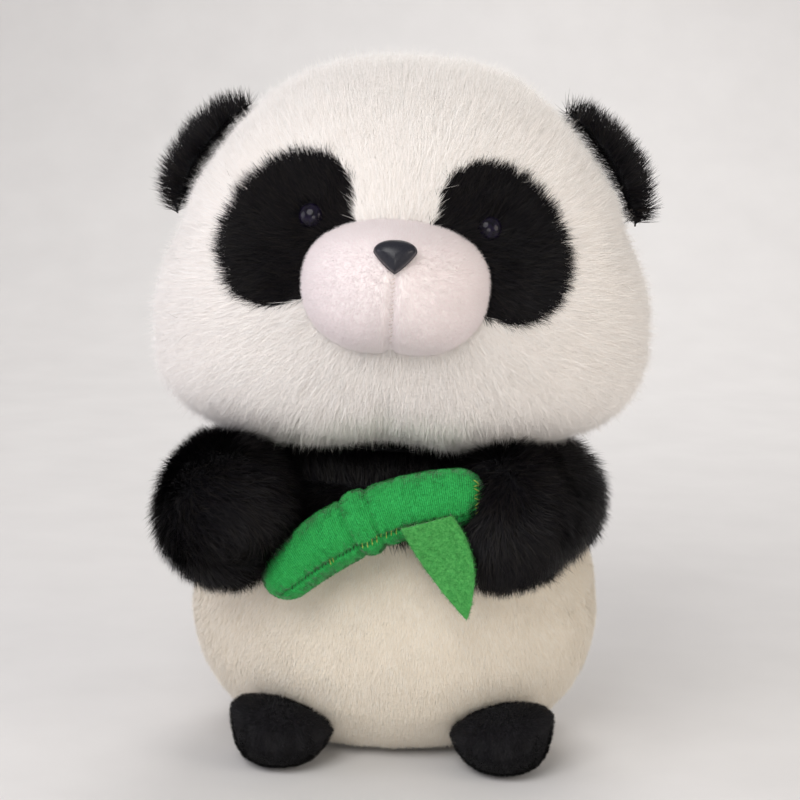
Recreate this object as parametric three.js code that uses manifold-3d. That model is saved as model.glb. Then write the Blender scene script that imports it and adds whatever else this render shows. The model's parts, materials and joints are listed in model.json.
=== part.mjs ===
// Plush panda holding a stuffed bamboo stick, as sewn covers, fibre fillings and plastic fittings.
// Millimetres, +Z up. The panda faces -Y and its own left is +X.
// The origin is the middle of the base, on the floor.
import * as THREE from 'three';
import { mergeVertices } from 'three/addons/utils/BufferGeometryUtils.js';
import Module from 'manifold-3d';

const wasm = await Module();
wasm.setup();

const LEFT = 1;
const RIGHT = -1;
const sideName = (side) => (side === LEFT ? 'left' : 'right');

// ---- Driving dimensions ----

const HEIGHT = 230;
const GAP = 0.35;                // clearance between two pieces that touch

const LONG_PILE = 6;             // thickness of the long white or black fur with its backing cloth
const SHORT_PILE = 4;            // thickness of the muzzle, belly and foot plush
const KNIT = 1.4;                // thickness of the bamboo's cloth
const THREAD = 0.6;              // radius of a seam thread

// Heights on the head are above its cheek line, the level where the head is widest.
const CHEEK_LINE = 143;
const HEAD = {
  halfWidth: 82, halfDepth: 64, below: 39.5, section: 2.3, crown: 2.25, jowls: 3.2, backSeamY: 6,
};
const MUZZLE = { y: -60, z: 18.5, halfWidth: 32, halfDepth: 26, halfHeight: 22.5, fullness: 2.3 };
const NOSE = { z: 32, halfWidth: 4.4, height: 6.2, bevel: 2, rim: 0.8, tilt: 25, proud: 0.5 };
const EYE = { x: 29.5, z: 39, radius: 4.5, dome: 3.4, sunk: 2, rim: 1.2, turn: 14, lift: 8 };
const POST = { radius: 1.6, length: 16 };
const WASHER = { radius: 4.8, thickness: 1.4, depth: 9 };
const PATCH = { x: { [LEFT]: 31.5, [RIGHT]: 34.5 }, z: 33, halfLength: 25.5, halfWidth: 18.8, slant: 55 };
const FACE_TILT = 2.4;             // the sewn face leans a little to the panda's left, about the nose
const EAR = {
  x: 58.5, y: 8, z: 47.5, tilt: 51, halfWidth: 26, halfDepth: 7, height: 20, fullness: 2.3, flex: 12,
};
const CHIN_SEAM = { from: -7, to: -33, steps: 5 };
const MUZZLE_SEAM = { from: 4, to: -17, steps: 6 };

const BODY = {
  halfWidth: 71, halfDepth: 55, bellyZ: 43, top: 99.5, baseRadius: 36, topRadius: 28,
  hip: { out: 16, z: 18 },         // pull on the outline between the base and the belly
  shoulder: { out: 22, z: 76 },    // and between the belly and the top
};
const YOKE_Z = 77;
const NECK = { z: 101.5, openingRadius: 25, threadRadius: 21 };
const BASE_PANEL = { radius: 33, thickness: 3.5 };
const BACK_SEAM = { from: 42, to: 72, steps: 5 };
const SIDE_SEAM_Y = 4;
const TAIL = { y: 50, z: 26, radius: 12 };

const ARM_AXIS = { y: -6, z: 88, swing: 4 };
const SHOULDER_RADIUS = 19;
const ARMS = [
  { side: RIGHT, shoulder: [-54.5, -10, 83], paw: [-54, -52, 84.5], pawRadius: 24 },
  { side: LEFT, shoulder: [51, -9, 83], paw: [37, -52, 85], pawRadius: 22 },
];
const FOOT = {
  x: { [LEFT]: 38.5, [RIGHT]: 35.5 }, y: -46, halfWidth: 15.5, halfLength: 18, halfHeight: 11.5,
  soleFullness: 2.8, hingeY: -32, swing: 10,
};

const BAMBOO = {
  radius: 10.4, taper: 0.94, nodeShare: 0.5,
  tip: [-38, -59, 61.5], node: [-8, -61.5, 86], end: [30, -61, 95.5],
  fillingHoleRadius: 3,
};
const BAMBOO_SEAM = { from: 0.12, to: 0.88, steps: 10 };
const LEAF = { start: [3.6, -72.2, 86.5], rise: 16, thickness: 1.2, width: 16.5, length: 33, tipX: 13 };

// Facets around and along each form, first of its outer surface and then of the inner ones.
const FACETS = {
  head: [[26, 16], [16, 9]],
  muzzle: [[18, 11], [12, 7]],
  ear: [[18, 10]],
  body: [[26, 5], [14, 3]],
  tail: [[14, 9]],
  bamboo: [[10, 12], [8, 8]],
  arm: [[14, 11], [9, 6]],
  foot: [[14, 8], [8, 5]],
  thread: [[5, 10]],
};
const RING_FACETS = 24;
const FITTING_FACETS = 10;

// ---- Materials ----

const cloth = (color) => new THREE.MeshStandardMaterial({ color, roughness: 0.95, metalness: 0 });
const plastic = (color, roughness) => new THREE.MeshStandardMaterial({ color, roughness, metalness: 0 });

const WHITE_FUR = cloth('#f4efe9');
const MUZZLE_PLUSH = cloth('#f6e9e6');
const BELLY_PLUSH = cloth('#efe3cf');
const BLACK_FUR = cloth('#141315');
const FOOT_PLUSH = cloth('#101013');
const GREEN_KNIT = cloth('#22a04a');
const GREEN_FELT = cloth('#3f9f48');
const FIBRE = cloth('#fbfbf8');
const PALE_THREAD = cloth('#efdfd2');
const BLACK_THREAD = cloth('#101012');
const GREEN_THREAD = cloth('#8fae3c');
const EYE_PLASTIC = plastic('#0a0a10', 0.08);
const NOSE_PLASTIC = plastic('#16181f', 0.35);
const WASHER_PLASTIC = plastic('#e9e9e4', 0.5);

// ---- Solids ----

function solid(geometry) {
  const bare = geometry.clone().deleteAttribute('normal').deleteAttribute('uv');
  const merged = mergeVertices(bare, 1e-4);
  const vertProperties = merged.attributes.position.array;
  return new wasm.Manifold(new wasm.Mesh({ numProp: 3, vertProperties, triVerts: merged.index.array }));
}

const joined = (solids) => solids.reduce((whole, next) => whole.add(next));
const without = (whole, cutters) => cutters.reduce((left, cutter) => left.subtract(cutter), whole);

const facets = (form, inset) => (inset > 0 ? FACETS[form][1] : FACETS[form][0]);

// The largest body of a cut: slivers left beyond an edge are dropped.
function largestBody(cut) {
  return cut.decompose().sort((a, b) => b.volume() - a.volume())[0];
}

function piece(name, material, form) {
  const { vertProperties, triVerts } = largestBody(form).getMesh();
  const geometry = new THREE.BufferGeometry();
  geometry.setAttribute('position', new THREE.BufferAttribute(vertProperties, 3));
  geometry.setIndex(new THREE.BufferAttribute(triVerts, 1));
  geometry.computeVertexNormals();
  const mesh = new THREE.Mesh(geometry, material);
  mesh.name = name;
  return mesh;
}

// Closed form whose level sections and upright profile are superellipses.
// An exponent of 2 is round, and more is fuller.
function roundForm({ halfWidth, halfDepth, above, below, section = 2, upper = 2, lower = 2 }, [around, up]) {
  const geometry = new THREE.SphereGeometry(1, around, up).rotateX(Math.PI / 2);
  const position = geometry.attributes.position;
  for (let i = 0; i < position.count; i++) {
    const [x, y, z] = [position.getX(i), position.getY(i), position.getZ(i)];
    const across = (Math.abs(x) ** section + Math.abs(y) ** section) ** (1 / section);
    const profile = z < 0 ? lower : upper;
    const reach = (across ** profile + Math.abs(z) ** profile) ** (-1 / profile);
    position.setXYZ(i, x * reach * halfWidth, y * reach * halfDepth, z * reach * (z < 0 ? below : above));
  }
  return geometry;
}

// Share of the full radius at a distance from a hemispherical end.
const roundEnd = (distance, radius) => Math.sqrt(1 - Math.max(1 - distance / radius, 0) ** 2);

// The axis that a path runs along least, which never lines up with a gently bent path.
function crossAxis(path) {
  const run = path.getPoint(1).sub(path.getPoint(0)).toArray().map(Math.abs);
  return new THREE.Vector3().setComponent(run.indexOf(Math.min(...run)), 1);
}

// Closed tube along a path, with two round ends. An inset makes it smaller all round, a negative one bigger.
function tube(path, { startRadius, endRadius, inset = 0 }, [around, along]) {
  const pathLength = path.getLength();
  const length = pathLength - 2 * inset;
  const profile = [];
  for (let i = 0; i <= along; i++) {
    const distance = length * (0.5 - 0.5 * Math.cos(Math.PI * i / along));
    const full = THREE.MathUtils.lerp(startRadius, endRadius, distance / length) - inset;
    const ends = roundEnd(distance, startRadius - inset) * roundEnd(length - distance, endRadius - inset);
    profile.push(new THREE.Vector2(i % along === 0 ? 0 : full * ends, distance + inset));
  }
  const geometry = new THREE.LatheGeometry(profile, around);
  const position = geometry.attributes.position;
  const reference = crossAxis(path);
  for (let i = 0; i < position.count; i++) {
    const distance = position.getY(i);
    const share = THREE.MathUtils.clamp(distance / pathLength, 0, 1);
    const tangent = path.getTangentAt(share);
    const side = reference.clone().cross(tangent).normalize();
    const rise = side.clone().cross(tangent);
    const point = path.getPointAt(share).addScaledVector(tangent, distance - share * pathLength);
    point.addScaledVector(side, position.getX(i)).addScaledVector(rise, position.getZ(i));
    position.setXYZ(i, point.x, point.y, point.z);
  }
  return solid(geometry);
}

// Seam thread through a row of points on a surface, and the groove that holds it.
function thread(points, inset = 0) {
  const path = new THREE.CatmullRomCurve3(points);
  return tube(path, { startRadius: THREAD, endRadius: THREAD, inset }, FACETS.thread[0]);
}

const groove = (points) => thread(points, -2 * GAP);

function block(low, high) {
  const size = high.map((value, i) => value - low[i]);
  const middle = high.map((value, i) => (value + low[i]) / 2);
  return solid(new THREE.BoxGeometry(...size).translate(...middle));
}

// Upright cylinder, or an oval one where its depth differs.
function upright(radius, low, high, depthScale = 1) {
  const geometry = new THREE.CylinderGeometry(radius, radius, high - low, RING_FACETS);
  return solid(geometry.rotateX(Math.PI / 2).scale(1, depthScale, 1).translate(0, 0, (low + high) / 2));
}

// A solid at both limits and the middle of a hinge's swing, as one cutter that leaves it room.
function swept(form, pivot, axis, swing) {
  const turned = (degrees) => {
    const matrix = new THREE.Matrix4().makeTranslation(pivot)
      .multiply(new THREE.Matrix4().makeRotationAxis(axis, THREE.MathUtils.degToRad(degrees)))
      .multiply(new THREE.Matrix4().makeTranslation(pivot.clone().negate()));
    return form.transform(matrix.toArray());
  };
  return joined([-swing, 0, swing].map(turned));
}

// Unit vector to the front, turned towards the left and lifted by angles in degrees.
function direction(turn, lift) {
  return new THREE.Vector3().setFromSphericalCoords(1, ...[90 - lift, turn].map(THREE.MathUtils.degToRad))
    .applyAxisAngle(new THREE.Vector3(1, 0, 0), Math.PI / 2);
}

// Profile turned about an axis that points outward from a place.
function turnedFitting(profile, place, outward) {
  const geometry = new THREE.LatheGeometry(profile, FITTING_FACETS);
  const turn = new THREE.Quaternion().setFromUnitVectors(new THREE.Vector3(0, 1, 0), outward);
  return solid(geometry.applyQuaternion(turn).translate(place.x, place.y, place.z));
}

// ---- Head, in the frame of its cheek line ----

const FACE_TURN = new THREE.Matrix4().makeTranslation(0, 0, NOSE.z)
  .multiply(new THREE.Matrix4().makeRotationY(THREE.MathUtils.degToRad(FACE_TILT)))
  .multiply(new THREE.Matrix4().makeTranslation(0, 0, -NOSE.z));

// A seat of a fitting on the face: its place, and the way that the fitting points.
function seat(place, outward) {
  return { place: place.applyMatrix4(FACE_TURN), outward: outward.transformDirection(FACE_TURN) };
}

function headForm(inset = 0) {
  return solid(roundForm({
    halfWidth: HEAD.halfWidth - inset,
    halfDepth: HEAD.halfDepth - inset,
    above: HEIGHT - CHEEK_LINE - inset,
    below: HEAD.below - inset,
    section: HEAD.section,
    upper: HEAD.crown,
    lower: HEAD.jowls,
  }, facets('head', inset)));
}

// The face's surface at a place across and up the head.
function facePoint(x, z) {
  const profile = z < 0 ? HEAD.jowls : HEAD.crown;
  const height = z < 0 ? HEAD.below : HEIGHT - CHEEK_LINE;
  const level = (1 - Math.abs(z / height) ** profile) ** (1 / profile);
  const depth = (level ** HEAD.section - Math.abs(x / HEAD.halfWidth) ** HEAD.section) ** (1 / HEAD.section);
  return new THREE.Vector3(x, -HEAD.halfDepth * depth, z);
}

function muzzleForm(inset = 0) {
  return solid(roundForm({
    halfWidth: MUZZLE.halfWidth - inset,
    halfDepth: MUZZLE.halfDepth - inset,
    above: MUZZLE.halfHeight - inset,
    below: MUZZLE.halfHeight - inset,
    upper: MUZZLE.fullness,
    lower: MUZZLE.fullness,
  }, facets('muzzle', inset)).translate(0, MUZZLE.y, MUZZLE.z).applyMatrix4(FACE_TURN));
}

// The front of the muzzle on its centre line, at a height from its middle.
function muzzlePoint(z) {
  const level = (1 - Math.abs(z / MUZZLE.halfHeight) ** MUZZLE.fullness) ** (1 / MUZZLE.fullness);
  return new THREE.Vector3(0, MUZZLE.y - MUZZLE.halfDepth * level, MUZZLE.z + z).applyMatrix4(FACE_TURN);
}

function seamPoints({ from, to, steps }, pointAt) {
  return Array.from({ length: steps + 1 }, (_, i) => pointAt(THREE.MathUtils.lerp(from, to, i / steps)));
}

function patchPrism(side, grow = 0) {
  const geometry = new THREE.CylinderGeometry(1, 1, HEAD.halfDepth, RING_FACETS)
    .scale(PATCH.halfLength + grow, 1, PATCH.halfWidth + grow)
    .rotateY(THREE.MathUtils.degToRad(side * PATCH.slant))
    .translate(side * PATCH.x[side], -HEAD.halfDepth, PATCH.z)
    .applyMatrix4(FACE_TURN);
  return solid(geometry);
}

// Place of an eye's rim and the way that it looks.
function eyeSeat(side) {
  const outward = direction(side * EYE.turn, EYE.lift);
  return seat(facePoint(side * EYE.x, EYE.z).addScaledVector(outward, -EYE.sunk), outward);
}

function eyeForm(side, grow = 0) {
  const { place, outward } = eyeSeat(side);
  const dome = new THREE.EllipseCurve(0, 0, EYE.radius + grow, EYE.dome + grow, 0, Math.PI / 2);
  const profile = [
    new THREE.Vector2(0, -POST.length - grow),
    new THREE.Vector2(POST.radius + grow, -POST.length - grow),
    new THREE.Vector2(POST.radius + grow, -EYE.rim - grow),
    new THREE.Vector2(EYE.radius + grow, -EYE.rim - grow),
    ...dome.getPoints(4),
  ];
  profile.at(-1).x = 0;
  return turnedFitting(profile, place, outward);
}

// Locking washer pressed onto a post, behind the cover.
function washerForm(place, outward, grow = 0) {
  const hole = POST.radius + GAP - grow;
  const low = -WASHER.depth - WASHER.thickness - grow;
  const high = -WASHER.depth + grow;
  const rim = WASHER.radius + grow;
  const profile = [[hole, low], [rim, low], [rim, high], [hole, high], [hole, low]];
  return turnedFitting(profile.map(([x, y]) => new THREE.Vector2(x, y)), place, outward);
}

function noseSeat() {
  const outward = direction(0, NOSE.tilt).transformDirection(FACE_TURN);
  const place = muzzlePoint(NOSE.z - MUZZLE.z).addScaledVector(outward, NOSE.proud);
  return { place, outward };
}

// Rounded triangle, point down, with a domed edge and a post behind it.
function noseForm(grow = 0) {
  const { place, outward } = noseSeat();
  const half = NOSE.halfWidth + grow;
  const top = NOSE.height / 2 + grow;
  const outline = new THREE.Shape();
  outline.moveTo(0, -top);
  outline.quadraticCurveTo(half * 0.8, -top * 0.5, half, top * 0.4);
  outline.quadraticCurveTo(half * 0.9, top, 0, top);
  outline.quadraticCurveTo(-half * 0.9, top, -half, top * 0.4);
  outline.quadraticCurveTo(-half * 0.8, -top * 0.5, 0, -top);
  const bevel = { bevelSize: NOSE.bevel, bevelThickness: NOSE.bevel, bevelSegments: 3, curveSegments: 5 };
  const button = new THREE.ExtrudeGeometry(outline, { depth: NOSE.rim + 2 * grow, ...bevel })
    .rotateX(Math.PI / 2)
    .rotateX(-THREE.MathUtils.degToRad(NOSE.tilt))
    .rotateY(THREE.MathUtils.degToRad(FACE_TILT))
    .translate(place.x, place.y + grow, place.z);
  const post = [[0, -POST.length], [POST.radius + grow, -POST.length], [POST.radius + grow, 0], [0, 0]];
  return solid(button).add(turnedFitting(post.map(([x, y]) => new THREE.Vector2(x, y)), place, outward));
}

// Half-round cushion that stands out of the head, its base along the head's side.
function earForm(side) {
  const cushion = roundForm({
    halfWidth: EAR.halfWidth,
    halfDepth: EAR.halfDepth,
    above: EAR.height,
    below: EAR.height,
    upper: EAR.fullness,
  }, FACETS.ear[0]);
  cushion.rotateY(THREE.MathUtils.degToRad(side * EAR.tilt));
  return solid(cushion.translate(side * EAR.x, EAR.y, EAR.z));
}

function makeHead() {
  const head = new THREE.Group();
  head.position.z = CHEEK_LINE;

  const neckOpening = upright(NECK.openingRadius, -HEAD.below - LONG_PILE, -HEAD.below + 3 * LONG_PILE);
  const shell = without(headForm(), [headForm(LONG_PILE), neckOpening]);
  const muzzleHole = muzzleForm(-GAP);
  const chinSeam = seamPoints(CHIN_SEAM, (z) => facePoint(0, z));
  const muzzleSeam = seamPoints(MUZZLE_SEAM, muzzlePoint);
  const nose = noseSeat();

  const reach = HEIGHT;
  const seam = GAP / 2;
  head.add(piece('head_back_panel', WHITE_FUR,
    shell.intersect(block([-reach, HEAD.backSeamY + seam, -reach], [reach, reach, reach]))));
  for (const side of [LEFT, RIGHT]) {
    const x = [side * seam, side * reach].sort((a, b) => a - b);
    const half = block([x[0], -reach, -reach], [x[1], HEAD.backSeamY - seam, reach]);
    const cuts = [patchPrism(side, GAP), muzzleHole, groove(chinSeam)];
    head.add(piece(`face_panel_${sideName(side)}`, WHITE_FUR, without(shell.intersect(half), cuts)));

    const patch = without(shell.intersect(patchPrism(side)), [muzzleHole, eyeForm(side, GAP)]);
    head.add(piece(`eye_patch_${sideName(side)}`, BLACK_FUR, patch));
    head.add(piece(`eye_${sideName(side)}`, EYE_PLASTIC, eyeForm(side)));
    const { place, outward } = eyeSeat(side);
    head.add(piece(`eye_washer_${sideName(side)}`, WASHER_PLASTIC, washerForm(place, outward)));

    const hinge = new THREE.Vector3(side * EAR.x, EAR.y, EAR.z);
    const along = new THREE.Vector3(1, 0, 0).applyAxisAngle(
      new THREE.Vector3(0, 1, 0), THREE.MathUtils.degToRad(side * EAR.tilt));
    const room = swept(headForm(-GAP), hinge, along, EAR.flex);
    head.add(piece(`ear_${sideName(side)}`, BLACK_FUR, earForm(side).subtract(room)));
  }

  const muzzleCover = without(muzzleForm(), [muzzleForm(SHORT_PILE), headForm(LONG_PILE)]);
  const muzzleCuts = [noseForm(GAP), groove(muzzleSeam)];
  head.add(piece('muzzle_cover', MUZZLE_PLUSH, without(muzzleCover, muzzleCuts)));
  head.add(piece('muzzle_seam_thread', PALE_THREAD, thread(muzzleSeam)));
  head.add(piece('chin_seam_thread', PALE_THREAD, thread(chinSeam)));
  head.add(piece('nose', NOSE_PLASTIC, noseForm()));
  head.add(piece('nose_washer', WASHER_PLASTIC, washerForm(nose.place, nose.outward)));

  const fittings = [LEFT, RIGHT].flatMap((side) => {
    const { place, outward } = eyeSeat(side);
    return [eyeForm(side, GAP), washerForm(place, outward, GAP)];
  });
  fittings.push(noseForm(GAP), washerForm(nose.place, nose.outward, GAP));
  const filling = headForm(LONG_PILE + GAP).add(muzzleForm(SHORT_PILE + GAP));
  head.add(piece('head_stuffing', FIBRE, without(filling, fittings)));
  return head;
}

// ---- Body ----

function bodyForm(inset = 0) {
  const side = BODY.halfWidth - inset;
  const top = BODY.top - inset;
  const outline = new THREE.Path();
  outline.moveTo(0, inset);
  outline.lineTo(BODY.baseRadius - inset, inset);
  const hipRadius = BODY.baseRadius + BODY.hip.out - inset;
  const shoulderRadius = BODY.topRadius + BODY.shoulder.out - inset;
  outline.bezierCurveTo(hipRadius, inset, side, BODY.hip.z, side, BODY.bellyZ);
  outline.bezierCurveTo(side, BODY.shoulder.z, shoulderRadius, top, BODY.topRadius - inset, top);
  outline.lineTo(0, top);
  const [around, up] = facets('body', inset);
  const geometry = new THREE.LatheGeometry(outline.getPoints(up), around).rotateX(Math.PI / 2);
  return solid(geometry.scale(1, (BODY.halfDepth - inset) / side, 1));
}

// The middle of the back's surface at a height, found where a thin rod comes out of it.
function backPoint(z) {
  const rod = block([-THREAD / 2, 0, z - THREAD / 2], [THREAD / 2, HEIGHT, z + THREAD / 2]);
  return new THREE.Vector3(0, bodyForm().intersect(rod).boundingBox().max[1], z);
}

function makeBody() {
  const body = new THREE.Group();
  const depthScale = BODY.halfDepth / BODY.halfWidth;
  const neckOpening = upright(NECK.openingRadius, BODY.top - 2 * SHORT_PILE, BODY.top + SHORT_PILE);
  const baseOpening = upright(BASE_PANEL.radius + GAP, -SHORT_PILE, 2 * SHORT_PILE, depthScale);
  const backSeam = seamPoints(BACK_SEAM, backPoint);
  const shell = without(bodyForm(), [bodyForm(SHORT_PILE), neckOpening, baseOpening, groove(backSeam)]);

  const reach = HEIGHT;
  const seam = GAP / 2;
  const lower = shell.intersect(block([-reach, -reach, -reach], [reach, reach, YOKE_Z - seam]));
  const upper = shell.intersect(block([-reach, -reach, YOKE_Z + seam], [reach, reach, reach]));
  body.add(piece('shoulder_yoke', BLACK_FUR, upper));
  body.add(piece('body_back_panel', BELLY_PLUSH,
    lower.intersect(block([-reach, SIDE_SEAM_Y + seam, -reach], [reach, reach, reach]))));
  for (const side of [LEFT, RIGHT]) {
    const x = [side * seam, side * reach].sort((a, b) => a - b);
    const half = block([x[0], -reach, -reach], [x[1], SIDE_SEAM_Y - seam, reach]);
    body.add(piece(`belly_panel_${sideName(side)}`, BELLY_PLUSH, lower.intersect(half)));
  }
  body.add(piece('base_panel', BELLY_PLUSH, upright(BASE_PANEL.radius, 0, BASE_PANEL.thickness, depthScale)));
  body.add(piece('body_stuffing', FIBRE, bodyForm(SHORT_PILE + GAP)));
  body.add(piece('back_seam_thread', PALE_THREAD, thread(backSeam)));

  const tail = new THREE.SphereGeometry(TAIL.radius, ...FACETS.tail[0]).translate(0, TAIL.y, TAIL.z);
  body.add(piece('tail', BELLY_PLUSH, solid(tail).subtract(bodyForm(-GAP))));
  return body;
}

function neckThread() {
  const geometry = new THREE.TorusGeometry(NECK.threadRadius, THREAD, FACETS.thread[0][0], RING_FACETS);
  return piece('neck_thread', BLACK_THREAD, solid(geometry.translate(0, 0, NECK.z)));
}

// ---- Bamboo, held between the paws ----

const vector = (numbers) => new THREE.Vector3(...numbers);
const [bambooTip, bambooNode, bambooEnd] = [BAMBOO.tip, BAMBOO.node, BAMBOO.end].map(vector);
const bambooBend = bambooNode.clone().multiplyScalar(2)
  .addScaledVector(bambooTip, -0.5).addScaledVector(bambooEnd, -0.5);
const bambooPath = new THREE.QuadraticBezierCurve3(bambooTip, bambooBend, bambooEnd);

function bambooForm(inset = 0) {
  const radii = { startRadius: BAMBOO.radius * BAMBOO.taper, endRadius: BAMBOO.radius };
  return tube(bambooPath, { ...radii, inset }, facets('bamboo', inset));
}

// A point of the bamboo's lower front side, where its seam runs.
function bambooSeamPoint(share) {
  const tangent = bambooPath.getTangentAt(share);
  const front = new THREE.Vector3(0, -1, 0);
  const down = front.clone().cross(tangent).normalize();
  const radius = BAMBOO.radius * THREE.MathUtils.lerp(BAMBOO.taper, 1, share);
  const outward = front.addScaledVector(down, 1).normalize();
  return bambooPath.getPointAt(share).addScaledVector(outward, radius);
}

function nodeRing(grow = 0) {
  const tangent = bambooPath.getTangentAt(BAMBOO.nodeShare);
  const turn = new THREE.Quaternion().setFromUnitVectors(new THREE.Vector3(0, 0, 1), tangent);
  const place = bambooPath.getPointAt(BAMBOO.nodeShare);
  const radius = BAMBOO.radius * THREE.MathUtils.lerp(BAMBOO.taper, 1, BAMBOO.nodeShare);
  const geometry = new THREE.TorusGeometry(radius, THREAD + grow, FACETS.thread[0][0], RING_FACETS);
  return solid(geometry.applyQuaternion(turn).translate(place.x, place.y, place.z));
}

// Flat pointed leaf that hangs from the bamboo by its straight edge.
function leafForm() {
  const { width, length, tipX, thickness, rise, start } = LEAF;
  const outline = new THREE.Shape();
  outline.moveTo(0, 0);
  outline.quadraticCurveTo(tipX * 0.3, -length * 0.6, tipX, -length);
  outline.quadraticCurveTo(width * 1.5, -length * 0.5, width, 0);
  outline.closePath();
  const geometry = new THREE.ExtrudeGeometry(outline, { depth: thickness, bevelEnabled: false });
  geometry.rotateX(Math.PI / 2).rotateY(-THREE.MathUtils.degToRad(rise));
  return solid(geometry.translate(...start));
}

function makeBamboo() {
  const bamboo = new THREE.Group();
  const seam = seamPoints(BAMBOO_SEAM, bambooSeamPoint);
  const fillingHole = solid(new THREE.SphereGeometry(BAMBOO.fillingHoleRadius).translate(...BAMBOO.tip));
  const cuts = [bambooForm(KNIT), fillingHole, nodeRing(GAP), groove(seam)];
  bamboo.add(piece('bamboo_cover', GREEN_KNIT, without(bambooForm(), cuts)));
  bamboo.add(piece('bamboo_stuffing', FIBRE, bambooForm(KNIT + GAP)));
  bamboo.add(piece('bamboo_node_thread', GREEN_THREAD, nodeRing().subtract(groove(seam))));
  bamboo.add(piece('bamboo_seam_thread', GREEN_THREAD, thread(seam)));
  bamboo.add(piece('bamboo_leaf', GREEN_FELT, leafForm()));
  return bamboo;
}

// ---- Arms and feet, sewn to the body ----

const ACROSS = new THREE.Vector3(1, 0, 0);

function armForm({ shoulder, paw, pawRadius }, inset = 0) {
  const [from, to] = [vector(shoulder), vector(paw)];
  const along = to.clone().sub(from).normalize();
  const path = new THREE.LineCurve3(
    from.addScaledVector(along, -SHOULDER_RADIUS), to.addScaledVector(along, pawRadius));
  const radii = { startRadius: SHOULDER_RADIUS, endRadius: pawRadius };
  return tube(path, { ...radii, inset }, facets('arm', inset));
}

function makeArms() {
  const arms = new THREE.Group();
  const pivot = new THREE.Vector3(0, ARM_AXIS.y, ARM_AXIS.z);
  const bodyRoom = swept(bodyForm(-GAP), pivot, ACROSS, ARM_AXIS.swing);
  for (const arm of ARMS) {
    const name = `arm_${sideName(arm.side)}`;
    const dented = (inset) => armForm(arm, inset).subtract(bambooForm(-GAP - inset));
    arms.add(piece(`${name}_cover`, BLACK_FUR, without(dented(0), [dented(LONG_PILE), bodyRoom])));
    arms.add(piece(`${name}_stuffing`, FIBRE, dented(LONG_PILE + GAP).subtract(bodyRoom)));
  }
  return arms;
}

function footForm(side, inset = 0) {
  const geometry = roundForm({
    halfWidth: FOOT.halfWidth - inset,
    halfDepth: FOOT.halfLength - inset,
    above: FOOT.halfHeight - inset,
    below: FOOT.halfHeight - inset,
    lower: FOOT.soleFullness,
  }, facets('foot', inset));
  return solid(geometry.translate(side * FOOT.x[side], FOOT.y, FOOT.halfHeight));
}

function makeFeet() {
  const feet = new THREE.Group();
  const pivot = new THREE.Vector3(0, FOOT.hingeY, FOOT.halfHeight);
  const bodyRoom = swept(bodyForm(-GAP), pivot, ACROSS, FOOT.swing);
  for (const side of [LEFT, RIGHT]) {
    const name = `foot_${sideName(side)}`;
    const cover = without(footForm(side), [footForm(side, SHORT_PILE), bodyRoom]);
    feet.add(piece(`${name}_cover`, FOOT_PLUSH, cover));
    feet.add(piece(`${name}_stuffing`, FIBRE, footForm(side, SHORT_PILE + GAP).subtract(bodyRoom)));
  }
  return feet;
}

const panda = new THREE.Group();
panda.add(makeHead(), makeBody(), neckThread(), makeBamboo(), makeArms(), makeFeet());

export default panda;
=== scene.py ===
"""The looks of a plush panda that holds a bamboo stick. Metres, +Z up, and the panda faces -Y."""
import itertools
import json
import math
from dataclasses import dataclass

import bmesh
import bpy
import numpy as np
from mathutils import Matrix, Vector
from mathutils.bvhtree import BVHTree


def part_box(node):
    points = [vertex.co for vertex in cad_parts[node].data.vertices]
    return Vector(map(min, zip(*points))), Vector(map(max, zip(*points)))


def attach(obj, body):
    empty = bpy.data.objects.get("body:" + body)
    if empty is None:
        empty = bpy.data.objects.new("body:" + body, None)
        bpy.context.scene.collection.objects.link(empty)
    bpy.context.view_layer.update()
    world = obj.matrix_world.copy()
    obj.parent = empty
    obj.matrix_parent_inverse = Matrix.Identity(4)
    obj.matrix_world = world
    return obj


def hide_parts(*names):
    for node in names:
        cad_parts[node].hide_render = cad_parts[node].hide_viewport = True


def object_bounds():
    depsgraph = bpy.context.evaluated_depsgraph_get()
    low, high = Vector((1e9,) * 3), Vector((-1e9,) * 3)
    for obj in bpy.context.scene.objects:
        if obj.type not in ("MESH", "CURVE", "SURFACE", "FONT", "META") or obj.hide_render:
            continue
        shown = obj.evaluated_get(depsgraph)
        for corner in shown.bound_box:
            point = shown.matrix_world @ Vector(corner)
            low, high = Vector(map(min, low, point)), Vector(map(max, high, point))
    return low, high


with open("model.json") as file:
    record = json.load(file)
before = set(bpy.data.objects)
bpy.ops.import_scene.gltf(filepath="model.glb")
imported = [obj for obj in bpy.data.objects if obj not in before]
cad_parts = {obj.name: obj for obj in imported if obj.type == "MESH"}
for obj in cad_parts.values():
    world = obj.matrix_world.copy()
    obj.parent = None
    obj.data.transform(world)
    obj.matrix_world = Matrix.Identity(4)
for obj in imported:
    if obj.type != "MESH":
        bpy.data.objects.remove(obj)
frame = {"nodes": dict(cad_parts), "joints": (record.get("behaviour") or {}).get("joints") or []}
CAD_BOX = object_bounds()

MM = 0.001
UP = np.array((0.0, 0.0, 1.0))
FRONT = np.array((0.0, -1.0, 0.0))
SIDES = {"left": 1, "right": -1}


# ---- Measures taken from the frame ----

def corners(*nodes):
    """Lowest and highest corner of the box round some CAD nodes."""
    boxes = [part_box(node) for node in nodes]
    return np.min([low for low, _ in boxes], axis=0), np.max([high for _, high in boxes], axis=0)


def middle(*nodes):
    low, high = corners(*nodes)
    return (low + high) / 2


def cad_points(node):
    return np.array([vertex.co for vertex in frame["nodes"][node].data.vertices])


def pivot(joint):
    """Where a joint of the frame turns."""
    return np.array(next(j["pos_m"] for j in frame["joints"] if j["name"] == joint))


def joint_axis(joint):
    return np.array(next(j["axis"] for j in frame["joints"] if j["name"] == joint))


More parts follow.
